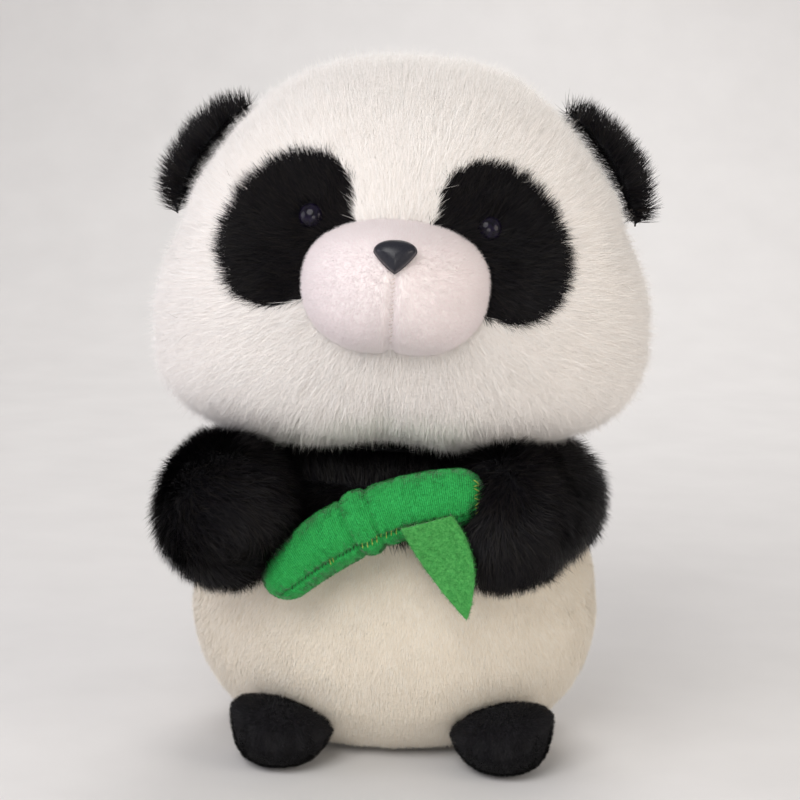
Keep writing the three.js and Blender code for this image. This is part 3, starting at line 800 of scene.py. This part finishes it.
def foot_corners(obj, side):
    """The ends of a foot's seam stand out as two soft corners, high on the outer side and low inside."""
    centre = middle(f"foot_{side}_cover")
    half = corners(f"foot_{side}_cover")[1] - centre
    for across, up, pull in FOOT_CORNERS:
        outward = np.array((across * SIDES[side], 0, up))
        corner = centre + half * outward
        points = get_points(obj.data)
        near = bump(np.linalg.norm((points - corner)[:, [0, 2]], axis=1), 7 * MM)
        near *= bump(points[:, 1] - centre[1], 14 * MM)
        set_points(obj, points + (pull * near)[:, None] * unit(outward))


arms, ears, feet = {}, {}, {}
for side in SIDES:
    arm_nodes = [f"arm_{side}_cover", f"arm_{side}_stuffing"]
    arms[side] = remeshed(f"arm_{side}_cushion", arm_nodes, 2 * MM, 8, BLACK_CLOTH)
    lift_tops(arms[side], ARM_RISE[side])
    stuff(arms[side], 2 * MM)
    ears[side] = remeshed(f"ear_{side}_cushion", [f"ear_{side}"], 1.5 * MM, 6, BLACK_CLOTH)
    reach_into_head(ears[side], side)
    stuff(ears[side], 1 * MM)
    foot_nodes = [f"foot_{side}_cover", f"foot_{side}_stuffing"]
    feet[side] = remeshed(f"foot_{side}_cushion", foot_nodes, 1.2 * MM, 6, FOOT_CLOTH)
    foot_corners(feet[side], side)
    stuff(feet[side], 0.6 * MM)
tail = remeshed("tail_cushion", ["tail"], 1.2 * MM, 4, BELLY_CLOTH)
stuff(tail, 0.8 * MM)

run_stuffing()

keep_round(head, "head_stuffing")
keep_round(muzzle, "head_stuffing", 0.3 * MM)
keep_round(body, "body_stuffing")
for side in SIDES:
    keep_round(arms[side], f"arm_{side}_stuffing")
    keep_round(feet[side], f"foot_{side}_stuffing")

declare(head, "head", [*HEAD_COVERS, "chin_seam_thread"])
declare(muzzle, "head", ["muzzle_cover"])
declare(body, "torso", [*BODY_COVERS, "back_seam_thread"])
declare(tail, "torso", ["tail"])
for side in SIDES:
    declare(arms[side], f"{side}_arm", [f"arm_{side}_cover"])
    declare(ears[side], f"{side}_ear", [f"ear_{side}"])
    declare(feet[side], f"{side}_foot", [f"foot_{side}_cover"])


# ---- Pile on every skin ----
# No strand grows where its root is inside another piece, or pressed against one.

EYE_CLEAR = 3.7 * MM                                    # no strand grows this close to an eye's middle
WHORL = np.array((0, MUZZLE_LOW[1], MUZZLE_HIGH[2]))    # the face's fur lies away from this point
draw = np.random.default_rng(11)

# Head: up and out over the face, and down behind.
roots, normals = scatter(head, WHITE_PILE.density, draw)
keep = depth_inside(roots, muzzle) < 1.5 * MM
roots, normals = roots[keep], normals[keep]
above = np.clip((roots[:, 2:] - WHORL[2] + 10 * MM) / (15 * MM), 0, 1)
rising = unit(roots - WHORL) + 0.9 * UP * above
falling = -UP - 0.9 * FRONT
behind = np.clip((roots[:, 1:2] + 15 * MM) / (30 * MM), 0, 1)
comb = rising * (1 - behind) + falling * behind
on_patch = {side: patch_mask(roots, side) for side in SIDES}
for side in SIDES:
    eye = middle(f"eye_{side}")
    from_eye = np.linalg.norm(roots - eye, axis=1)
    chosen = on_patch[side] & (from_eye > EYE_CLEAR)
    chosen &= draw.random(len(roots)) < PATCH_PILE.density / WHITE_PILE.density
    away = unit(roots - eye) * bump(from_eye, 9 * MM)[:, None]
    grow(f"eye_patch_{side}_fur", roots, normals, comb + away, PATCH_PILE, "head", 20 + SIDES[side], chosen)
white = ~(on_patch["left"] | on_patch["right"])
back_y = corners("head_back_panel")[0][1]
panels = {
    "face_panel_left": (roots[:, 0] >= 0) & (roots[:, 1] < back_y),
    "face_panel_right": (roots[:, 0] < 0) & (roots[:, 1] < back_y),
    "head_back_panel": roots[:, 1] >= back_y,
}
for number, (name, area) in enumerate(panels.items()):
    chosen = white & area
    grow(f"{name}_fur", roots, normals, comb, WHITE_PILE, "head", 30 + number, chosen)
    chosen &= draw.random(len(roots)) < GUARD_PILE.density / WHITE_PILE.density
    grow(f"{name}_guard_hair", roots, normals, comb, GUARD_PILE, "head", 35 + number, chosen)

# Muzzle
roots, normals = scatter(muzzle, MUZZLE_PILE.density, draw)
keep = depth_inside(roots, head) < 0.5 * MM
grow("muzzle_pile", roots, normals, roots - WHORL, MUZZLE_PILE, "head", 40, keep)

# Body: down over the belly, and up round the neck.
roots, normals = scatter(body, BELLY_PILE.density, draw)
hidden = (depth_inside(roots, head) > 0) | (roots[:, 2] < 1.2 * MM)
for side in SIDES:
    hidden |= depth_inside(roots, arms[side]) > -0.5 * MM
    hidden |= depth_inside(roots, feet[side]) > -1.5 * MM
yoke = roots[:, 2] > YOKE_Z
NECK_Z = YOKE_Z + 0.6 * (middle("neck_thread")[2] - YOKE_Z)    # where the yoke's fur parts
comb = 0.6 * unit(roots - np.array((0, 0, YOKE_Z))) + UP * np.where(roots[:, 2:] > NECK_Z, 1, -1)
grow("belly_fur", roots, normals, comb, BELLY_PILE, "torso", 50, ~hidden & ~yoke)
chosen = ~hidden & yoke & (draw.random(len(roots)) < BLACK_PILE.density / BELLY_PILE.density)
grow("shoulder_yoke_fur", roots, normals, comb, BLACK_PILE, "torso", 60, chosen)

ARM_FALL = np.array((0.45, 0, -0.9))    # the way that the arms' fur hangs
ARM_TUFT = 16 * MM
EAR_BASE = (0.6, 1, 0.8)                # an ear's fur fans out from this share of its middle


LEAF_CLEAR = 5 * MM                  # how close to the leaf no strand of an arm grows


def over_leaf(roots):
    """Which roots would push their strands through the leaf."""
    near = within(roots, *corners("bamboo_leaf"), LEAF_CLEAR)
    near[near] = nearest_distance(roots[near], frame["nodes"]["bamboo_leaf"]) < LEAF_CLEAR
    return near


for number, side in enumerate(SIDES):
    roots, normals = scatter(arms[side], BLACK_PILE.density, draw)
    keep = (depth_inside(roots, body) < 0) & ~over_leaf(roots)
    outward = 0.5 * unit(roots - middle(f"arm_{side}_cover"))
    comb = outward + ARM_FALL + noise_vectors(roots, ARM_TUFT, 14 + number)
    grow(f"arm_{side}_fur", roots, normals, comb, BLACK_PILE, f"{side}_arm", 70 + number, keep)

    roots, normals = scatter(ears[side], BLACK_PILE.density, draw)
    keep = depth_inside(roots, head) < 2 * MM
    comb = roots - middle(f"ear_{side}") * EAR_BASE
    grow(f"ear_{side}_fur", roots, normals, comb, BLACK_PILE, f"{side}_ear", 80 + number, keep)

    roots, normals = scatter(feet[side], FOOT_PILE.density, draw)
    keep = (depth_inside(roots, body) < 1 * MM) & (roots[:, 2] > 0.8 * MM)
    comb = roots - middle(f"foot_{side}_cover")
    grow(f"foot_{side}_pile", roots, normals, comb, FOOT_PILE, f"{side}_foot", 90 + number, keep)

roots, normals = scatter(tail, BELLY_PILE.density, draw)
keep = depth_inside(roots, body) < 1 * MM
comb = roots - middle("tail") - 0.02 * UP
grow("tail_fur", roots, normals, comb, BELLY_PILE, "torso", 99, keep)


# ---- Eyes and nose ----

def dome(name, outline, place, outward, upward, profile, material, rings=24, around=96):
    """A domed button. outline(angle) is its edge, and profile(share) gives its radius share and height."""
    across = np.cross(upward, outward)
    points = []
    for ring in range(rings):
        share, height = profile(ring / (rings - 1))
        for step in range(around):
            angle = 2 * math.pi * step / around
            x, y = outline(angle)
            points.append(place + share * (x * across + y * upward) + height * outward)
    points.append(place + profile(1)[1] * outward)
    faces = []
    for ring in range(rings - 2):
        for step in range(around):
            a, b = ring * around + step, ring * around + (step + 1) % around
            faces += [[a, b, b + around], [a, b + around, a + around]]
    top = (rings - 2) * around
    faces += [[top + step, top + (step + 1) % around, len(points) - 1] for step in range(around)]
    return mesh_object(name, np.array(points), np.array(faces), [material])


def plane_of(node_name):
    """Axes of a fitting: which way its post points out, and its upward direction."""
    points = cad_points(node_name)
    base = points[points[:, 1] > points[:, 1].max() - 2 * MM].mean(axis=0)
    tip = points[points[:, 1] < points[:, 1].min() + 3 * MM].mean(axis=0)
    outward = unit(tip - base)
    upward = unit(UP - UP.dot(outward) * outward)
    return tip, outward, upward


DOME_DEPTH = 3.2 * MM                # from a fitting's front point back to the middle of its rim
EYE_RADIUS = 4 * MM
EYE_RISE = 3 * MM


def eye_outline(angle):
    return EYE_RADIUS * math.cos(angle), EYE_RADIUS * math.sin(angle)


def eye_profile(share):
    """A dome whose rim turns in a little behind its widest ring."""
    angle = share * math.pi / 2 - 0.35 * (1 - share)
    return math.cos(angle), EYE_RISE * math.sin(angle)


for side in SIDES:
    tip, outward, upward = plane_of(f"eye_{side}")
    eye = dome(f"eye_{side}_dome", eye_outline, tip - outward * DOME_DEPTH, outward, upward,
               eye_profile, EYE_PLASTIC)
    declare(eye, "head", [f"eye_{side}"])


NOSE_LOW, NOSE_HIGH = corners("nose")
NOSE_HALF_WIDTH = (NOSE_HIGH[0] - NOSE_LOW[0]) / 2
NOSE_HALF_HEIGHT = 5.4 * MM
NOSE_RISE = 3.6 * MM


def nose_outline(angle):
    """A broad arc over a blunt point."""
    x, y = math.cos(angle), math.sin(angle)
    if y >= 0:
        reach = (abs(x) ** 2.2 + abs(y / 0.72) ** 2.2) ** (-1 / 2.2)
    else:
        reach = (abs(x) ** 1.18 + abs(y / 1.25) ** 1.18) ** (-1 / 1.18)
    return NOSE_HALF_WIDTH * x * reach, NOSE_HALF_HEIGHT * (y * reach + 0.22)


def nose_profile(share):
    rim = 0.10
    if share < rim:
        return 1 + 0.02 * math.sin(math.pi * share / rim), 0.9 * MM * share / rim - 0.6 * MM
    rest = (share - rim) / (1 - rim)
    angle = rest * math.pi / 2
    return 0.97 * math.cos(angle), 0.3 * MM + NOSE_RISE * math.sin(angle) ** 0.9


tip, outward, upward = plane_of("nose")
nose = dome("nose_button", nose_outline, tip - outward * DOME_DEPTH, outward, upward,
            nose_profile, NOSE_PLASTIC)
declare(nose, "head", ["nose"])


# ---- Bamboo and its leaf ----

BAMBOO_FILLING = cad_points("bamboo_stuffing")
BAMBOO_NODE = middle("bamboo_node_thread")
BAMBOO_RADIUS = np.linalg.norm(cad_points("bamboo_cover") - BAMBOO_NODE, axis=1).min() + 0.8 * MM
COVER_THICKNESS = 1.8 * MM


def bamboo_ends():
    """The two poles of the filling, found along the curve's direction there and carried out to the cover."""
    tip_heading = end_heading = np.array((0.8, 0, 0.6))
    for _ in range(4):
        tip = BAMBOO_FILLING[np.argmin(BAMBOO_FILLING @ tip_heading)]
        end = BAMBOO_FILLING[np.argmax(BAMBOO_FILLING @ end_heading)]
        tip_heading = unit(4 * BAMBOO_NODE - 3 * tip - end)
        end_heading = unit(3 * end + tip - 4 * BAMBOO_NODE)
    return tip - COVER_THICKNESS * tip_heading, end + COVER_THICKNESS * end_heading


BAMBOO_TIP, BAMBOO_END = bamboo_ends()
RING_SHARE = 0.49                    # of the length, from the tip to the raised ring
SEAM_ANGLE = math.radians(-30)       # of the seam round the bamboo, from its front
RIB = 0.62 * MM


def bamboo_centre(share):
    """A point of the curve through the tip, the node and the end."""
    share = np.asarray(share, float)[..., None]
    return (BAMBOO_TIP * (1 - share) * (1 - 2 * share) + BAMBOO_NODE * 4 * share * (1 - share)
            + BAMBOO_END * share * (2 * share - 1))


def bamboo_frame(share):
    heading = unit(bamboo_centre(share + 0.01) - bamboo_centre(share - 0.01))
    upward = unit(UP - (heading @ UP)[..., None] * heading)
    return heading, np.cross(heading, upward), upward


def bamboo_point(share, angle, lift=0.0):
    """A point on the bamboo's skin, at an angle up from its front, raised by a lift."""
    length = np.linalg.norm(BAMBOO_NODE - BAMBOO_TIP) + np.linalg.norm(BAMBOO_END - BAMBOO_NODE)
    radius = BAMBOO_RADIUS * (1.04 - np.where(share < RING_SHARE, 1.1, 0.45) * (share - RING_SHARE) ** 2)
    inner = np.clip(share, radius / length, 1 - radius / length)
    beyond = (share - inner) * length / radius
    ends = np.sqrt(np.clip(1 - np.abs(beyond) ** 2.4, 0, 1))
    from_ring = (share - RING_SHARE) * length
    ring = 0.9 * MM * (bump(from_ring, 2.8 * MM) - bump(from_ring - 4.2 * MM, 0.9 * MM)
                       - bump(from_ring + 4.2 * MM, 0.9 * MM))
    from_seam = np.angle(np.exp(1j * (angle - SEAM_ANGLE)))
    groove = -1.1 * MM * bump(from_seam, 0.08) * (np.abs(beyond) < 0.6)
    pucker = 0.22 * MM * bump(from_seam, 0.5) * np.sin(2 * math.pi * share * length / (3.1 * MM))
    heading, front, upward = bamboo_frame(share)
    out = np.cos(angle)[..., None] * front + np.sin(angle)[..., None] * upward
    centre = bamboo_centre(share)
    reach = (radius + ring + groove + pucker) * ends + lift
    return centre + reach[..., None] * out


def knit_material():
    """Fine ribs round the stick, brushed, with light and dark stitches."""
    material = principled("green_knit_ribs", (0.018, 0.30, 0.07), 0.9, 0.2, 0.35)
    shader = material.node_tree.nodes["Principled BSDF"]
    place = node(material, "ShaderNodeUVMap", uv_map="cloth")
    split = node(material, "ShaderNodeSeparateXYZ")
    ribs = node(material, "ShaderNodeMath", operation="MULTIPLY")
    ribs.inputs[1].default_value = 2 * math.pi / RIB
    wave = node(material, "ShaderNodeMath", operation="SINE")
    grain = node(material, "ShaderNodeTexNoise")
    grain.inputs["Scale"].default_value = 1 / (0.7 * MM)
    grain.inputs["Detail"].default_value = 3
    height = node(material, "ShaderNodeMath", operation="MULTIPLY_ADD")
    height.inputs[1].default_value = 0.22
    colours = node(material, "ShaderNodeValToRGB")
    colours.color_ramp.elements[0].position = 0.25
    colours.color_ramp.elements[1].position = 0.85
    colours.color_ramp.elements[0].color = (0.008, 0.19, 0.035, 1)
    colours.color_ramp.elements[1].color = (0.035, 0.46, 0.11, 1)
    relief = node(material, "ShaderNodeBump")
    relief.inputs["Strength"].default_value = 0.7
    relief.inputs["Distance"].default_value = 0.15 * MM
    link(material, place.outputs["UV"], split.inputs["Vector"])
    link(material, split.outputs["X"], ribs.inputs[0])
    link(material, ribs.outputs["Value"], wave.inputs[0])
    link(material, place.outputs["UV"], grain.inputs["Vector"])
    link(material, wave.outputs["Value"], height.inputs[0])
    link(material, grain.outputs["Fac"], height.inputs[2])
    link(material, height.outputs["Value"], colours.inputs["Fac"])
    link(material, height.outputs["Value"], relief.inputs["Height"])
    link(material, colours.outputs["Color"], shader.inputs["Base Color"])
    link(material, relief.outputs["Normal"], shader.inputs["Normal"])
    return material


def tube_faces(rings, around):
    faces = []
    for ring in range(rings - 1):
        for step in range(around):
            a, b = ring * around + step, ring * around + (step + 1) % around
            faces.append([a, b, b + around, a + around])
    return np.array(faces)


def make_bamboo():
    rings, around = 260, 72
    turn = np.linspace(0, math.pi, rings)
    shares = np.repeat(0.5 - 0.5 * np.cos(turn), around)
    shares = np.clip(shares, 1e-5, 1 - 1e-5)
    angles = np.tile(np.arange(around) * 2 * math.pi / around, rings)
    points = bamboo_point(shares, angles)
    obj = mesh_object("bamboo_skin", points, tube_faces(rings, around)[:, ::-1], [knit_material()])
    length = np.linalg.norm(np.diff(bamboo_centre(np.linspace(0, 1, 50)), axis=0), axis=1).sum()
    layer = obj.data.uv_layers.new(name="cloth")
    corner_points = np.zeros(len(obj.data.loops), np.int32)
    obj.data.loops.foreach_get("vertex_index", corner_points)
    flat = np.stack([shares * length, angles * BAMBOO_RADIUS], 1)[corner_points]
    layer.data.foreach_set("uv", flat.astype(np.float32).ravel())
    return obj


bamboo = make_bamboo()
keep_round(bamboo, "bamboo_stuffing", 0.2 * MM)
declare(bamboo, "right_arm", ["bamboo_cover", "bamboo_node_thread"])
roots, normals = scatter(bamboo, KNIT_PILE.density, draw)
grow("bamboo_fuzz", roots, normals, noise_vectors(roots, 2 * MM, 5), KNIT_PILE, "right_arm", 101)


def thread_mesh(name, paths, radius, material, around=7):
    """Short lengths of thread along paths, each a closed tapered tube."""
    all_points, all_faces = [], []
    for path in paths:
        count = len(path)
        heading = unit(np.gradient(path, axis=0))
        across = unit(np.cross(heading, (0.31, 0.17, 0.94)))
        other = np.cross(heading, across)
        taper = np.sqrt(np.clip(1 - np.linspace(-1, 1, count) ** 8, 0.02, 1)) * radius
        angles = np.arange(around) * 2 * math.pi / around
        ring = across[:, None] * np.cos(angles)[:, None] + other[:, None] * np.sin(angles)[:, None]
        points = (path[:, None] + ring * taper[:, None, None]).reshape(-1, 3)
        start = sum(len(p) for p in all_points)
        faces = tube_faces(count, around)
        triangles = np.concatenate([faces[:, [0, 1, 2]], faces[:, [0, 2, 3]]])
        fans = [[0, j + 1, j] for j in range(1, around - 1)]
        last = (count - 1) * around
        fans += [[last, last + j, last + j + 1] for j in range(1, around - 1)]
        all_points.append(points)
        all_faces.append(np.concatenate([triangles, np.array(fans)]) + start)
    return mesh_object(name, np.concatenate(all_points), np.concatenate(all_faces), [material])


def over_seam(share, reach):
    """One slanting stitch over the bamboo's seam."""
    steps = np.linspace(-1, 1, 7)
    lift = 0.3 * MM * (1 - steps ** 2) + 0.15 * MM
    return bamboo_point(share + 0.006 * steps, SEAM_ANGLE + reach * steps, lift)


def closing_stitch(number, angle):
    """One of the crossing stitches that close the round end."""
    steps = np.linspace(-1, 1, 7)
    lift = 0.35 * MM * (1 - steps ** 2) + 0.15 * MM
    return bamboo_point(0.965 + 0.012 * steps * (-1) ** number, angle + 0.07 * steps, lift)


THREAD_RADIUS = 0.17 * MM
dark_paths = [over_seam(share, 0.07) for share in np.linspace(0.1, 0.9, 46)]
dark_stitches = thread_mesh("bamboo_seam_stitches", dark_paths, THREAD_RADIUS, DARK_THREAD_CLOTH)
pale_paths = [over_seam(share, 0.12) for share in (0.3, 0.315, *np.linspace(0.46, 0.62, 8))]
pale_paths += [closing_stitch(number, angle) for number, angle in enumerate(np.linspace(-0.5, 0.9, 8))]
pale_stitches = thread_mesh("bamboo_pale_stitches", pale_paths, THREAD_RADIUS, GREEN_THREAD_CLOTH)
declare(dark_stitches, "right_arm")
declare(pale_stitches, "right_arm", ["bamboo_seam_thread"])


def skin_point(skin, across, height, lift):
    """The point of a skin straight in front of a place on the leaning face."""
    aimed = leaning(np.array([[across, 0, height]]))[0]
    place, normal, _, _ = skin.ray_cast(Vector((aimed[0], CAD_BOX[0].y * 2, aimed[2])), Vector((0, 1, 0)))
    return np.array(place + normal * lift)


def face_stitches(name, obj, low, high, spacing, reach, lift, material):
    """Short stitches, nearly level, up a seam in the middle of the face."""
    skin = tree(obj)
    slant = 0.3 * MM
    paths = []
    for height in np.arange(low, high, spacing):
        path = [skin_point(skin, reach * step, height + slant * step, lift * (1 - step ** 2))
                for step in np.linspace(-1, 1, 7)]
        paths.append(np.array(path))
    return thread_mesh(name, paths, 0.1 * MM, material)


muzzle_thread = face_stitches("muzzle_stitches", muzzle, MUZZLE_LOW[2] + 7 * MM, NOSE_LOW[2],
                              spacing=1.3 * MM, reach=0.8 * MM, lift=0.45 * MM, material=THREAD_CLOTH)
declare(muzzle_thread, "head", ["muzzle_seam_thread"])


LEAF_START = pivot("leaf_swing")
LEAF_TOP = -joint_axis("leaf_swing")           # along the leaf's sewn top edge
LEAF_DOWN = np.cross(LEAF_TOP, FRONT)
leaf_points = cad_points("bamboo_leaf") - LEAF_START
LEAF_LENGTH = (leaf_points @ LEAF_DOWN).max()
LEAF_TIP_X = leaf_points[np.argmax(leaf_points @ LEAF_DOWN)] @ LEAF_TOP
LEAF_WIDTH = (leaf_points[leaf_points @ LEAF_DOWN < 1 * MM] @ LEAF_TOP).max()
LEAF_THICKNESS = 1.2 * MM
LEAF_BULGE = 1.45                               # how far the leaf's outer edge swells


def leaf_point(across, down):
    """A point of the leaf's middle sheet: across and down run from 0 to 1."""
    left = LEAF_TIP_X * (0.6 * down * (1 - down) + down ** 2)
    right = LEAF_WIDTH * ((1 - down) ** 2 + 2 * LEAF_BULGE * down * (1 - down)) + LEAF_TIP_X * down ** 2
    x = left + (right - left) * across
    curl = -2.2 * MM * down ** 2 + 2.8 * MM * (across - 0.3) ** 2 * (1 - down)
    return LEAF_START + x * LEAF_TOP + LEAF_LENGTH * down * LEAF_DOWN - curl * FRONT


def make_leaf():
    wide, long = 20, 44
    sheet = [leaf_point(i / wide, (j / long) * 0.995) for j in range(long + 1) for i in range(wide + 1)]
    faces = np.array([[a, a + 1, a + wide + 2, a + wide + 1]
                      for j in range(long) for a in range(j * (wide + 1), j * (wide + 1) + wide)])
    obj = mesh_object("leaf_felt", np.array(sheet), faces, [FELT_CLOTH])
    area = sum(face.area for face in obj.data.polygons)
    thick = obj.modifiers.new("thickness", "SOLIDIFY")
    thick.thickness = LEAF_THICKNESS
    thick.offset = 0
    apply_modifiers(obj)
    return obj, area


leaf, leaf_area = make_leaf()
declare(leaf, "leaf", ["bamboo_leaf"])
roots, normals = scatter(leaf, FELT_PILE.density, draw)
leaf_fibres = grow("leaf_fibres", roots, normals, noise_vectors(roots, 1 * MM, 9), FELT_PILE, "leaf", 102)


# ---- CAD nodes that stay ----

KEPT = {
    "eye_washer_left": WASHER_PLASTIC, "eye_washer_right": WASHER_PLASTIC, "nose_washer": WASHER_PLASTIC,
    "neck_thread": BLACK_THREAD_CLOTH, "head_stuffing": FIBRE_CLOTH, "body_stuffing": FIBRE_CLOTH,
    "arm_left_stuffing": FIBRE_CLOTH, "arm_right_stuffing": FIBRE_CLOTH,
    "foot_left_stuffing": FIBRE_CLOTH, "foot_right_stuffing": FIBRE_CLOTH, "bamboo_stuffing": FIBRE_CLOTH,
}
for name, material in KEPT.items():
    kept = frame["nodes"][name]
    if not kept.data.materials:
        kept.data.materials.append(material)
    for number in range(len(kept.material_slots)):
        kept.material_slots[number].material = material


# ---- Camera, light and floor ----

CAMERA_LIFT = math.radians(10)       # how far the camera looks down
CAMERA_TURN = math.radians(1.8)      # how far it is to the panda's left
CAMERA_ROLL = math.radians(1.5)
CAMERA_DISTANCE = 0.8
CAMERA_LENS = 104.9                  # millimetres, on a sensor of the next width
CAMERA_SENSOR = 36


def place_camera():
    data = bpy.data.cameras.new("camera")
    data.lens = CAMERA_LENS
    data.sensor_width = CAMERA_SENSOR
    camera = bpy.data.objects.new("camera", data)
    bpy.context.scene.collection.objects.link(camera)
    level = math.cos(CAMERA_LIFT)
    back = Vector((math.sin(CAMERA_TURN) * level, -math.cos(CAMERA_TURN) * level, math.sin(CAMERA_LIFT)))
    camera.rotation_mode = "QUATERNION"
    aim = (-back).to_track_quat("-Z", "Y").to_matrix()
    camera.rotation_quaternion = (aim @ Matrix.Rotation(CAMERA_ROLL, 3, "Z")).to_quaternion()
    camera.location = Vector((0, 0, HEIGHT / 2)) + back * CAMERA_DISTANCE
    bpy.context.scene.camera = camera


def area_light(name, place, size, power, colour):
    data = bpy.data.lights.new(name, "AREA")
    data.shape = "DISK"
    data.size = size
    data.energy = power
    data.color = colour
    light = bpy.data.objects.new(name, data)
    light.location = place
    light.rotation_mode = "QUATERNION"
    light.rotation_quaternion = (Vector(place) - Vector((0, 0, HEIGHT / 2))).to_track_quat("Z", "Y")
    bpy.context.scene.collection.objects.link(light)


# Each light's name, place, diameter, power and colour.
LIGHTS = (
    ("key", (-0.35, -0.85, 0.80), 0.8, 7.2, (1.0, 0.985, 0.97)),
    ("low_front", (0.15, -1.1, 0.12), 0.5, 2.4, (1.0, 0.96, 0.90)),
    ("warm_fill", (0.9, -0.5, 0.35), 0.6, 2.8, (1.0, 0.91, 0.80)),
    ("cool_fill", (-0.9, -0.3, 0.30), 0.6, 2.2, (0.92, 0.90, 1.0)),
    ("back", (0.1, 0.9, 0.8), 0.7, 5, (1.0, 0.98, 0.96)),
)
ROOM_COLOUR = (1.0, 0.98, 0.96, 1)
ROOM_LIGHT = 0.42


def light_room():
    """A soft even light from all round."""
    world = bpy.data.worlds.new("studio")
    world.use_nodes = True
    background = world.node_tree.nodes["Background"]
    background.inputs["Color"].default_value = ROOM_COLOUR
    background.inputs["Strength"].default_value = ROOM_LIGHT
    bpy.context.scene.world = world


def backdrop():
    """A floor that curves up behind into a wall, as paper does in a studio."""
    half, behind, bend, top = 3.0, 0.7, 0.5, 3.0
    turns = np.linspace(0, math.pi / 2, 24)
    profile = [(-half, 0.0)]
    profile += [(behind + bend * math.sin(turn), bend * (1 - math.cos(turn))) for turn in turns]
    profile += [(behind + bend, top)]
    points = np.array([(x, y, z - 0.2 * MM) for y, z in profile for x in (-half, half)])
    faces = np.array([[a, a + 1, a + 3, a + 2] for a in range(0, 2 * len(profile) - 2, 2)])
    paper = textured(principled("backdrop_paper", (0.8, 0.78, 0.76), 0.8, 0.2),
                     (0.70, 0.69, 0.69), (0.73, 0.72, 0.72), 40 * MM, 0.05, 0.1 * MM)
    return mesh_object("backdrop", points, faces, [paper])


place_camera()
for light in LIGHTS:
    area_light(*light)
light_room()
floor = backdrop()
bpy.context.scene.view_settings.view_transform = "Standard"
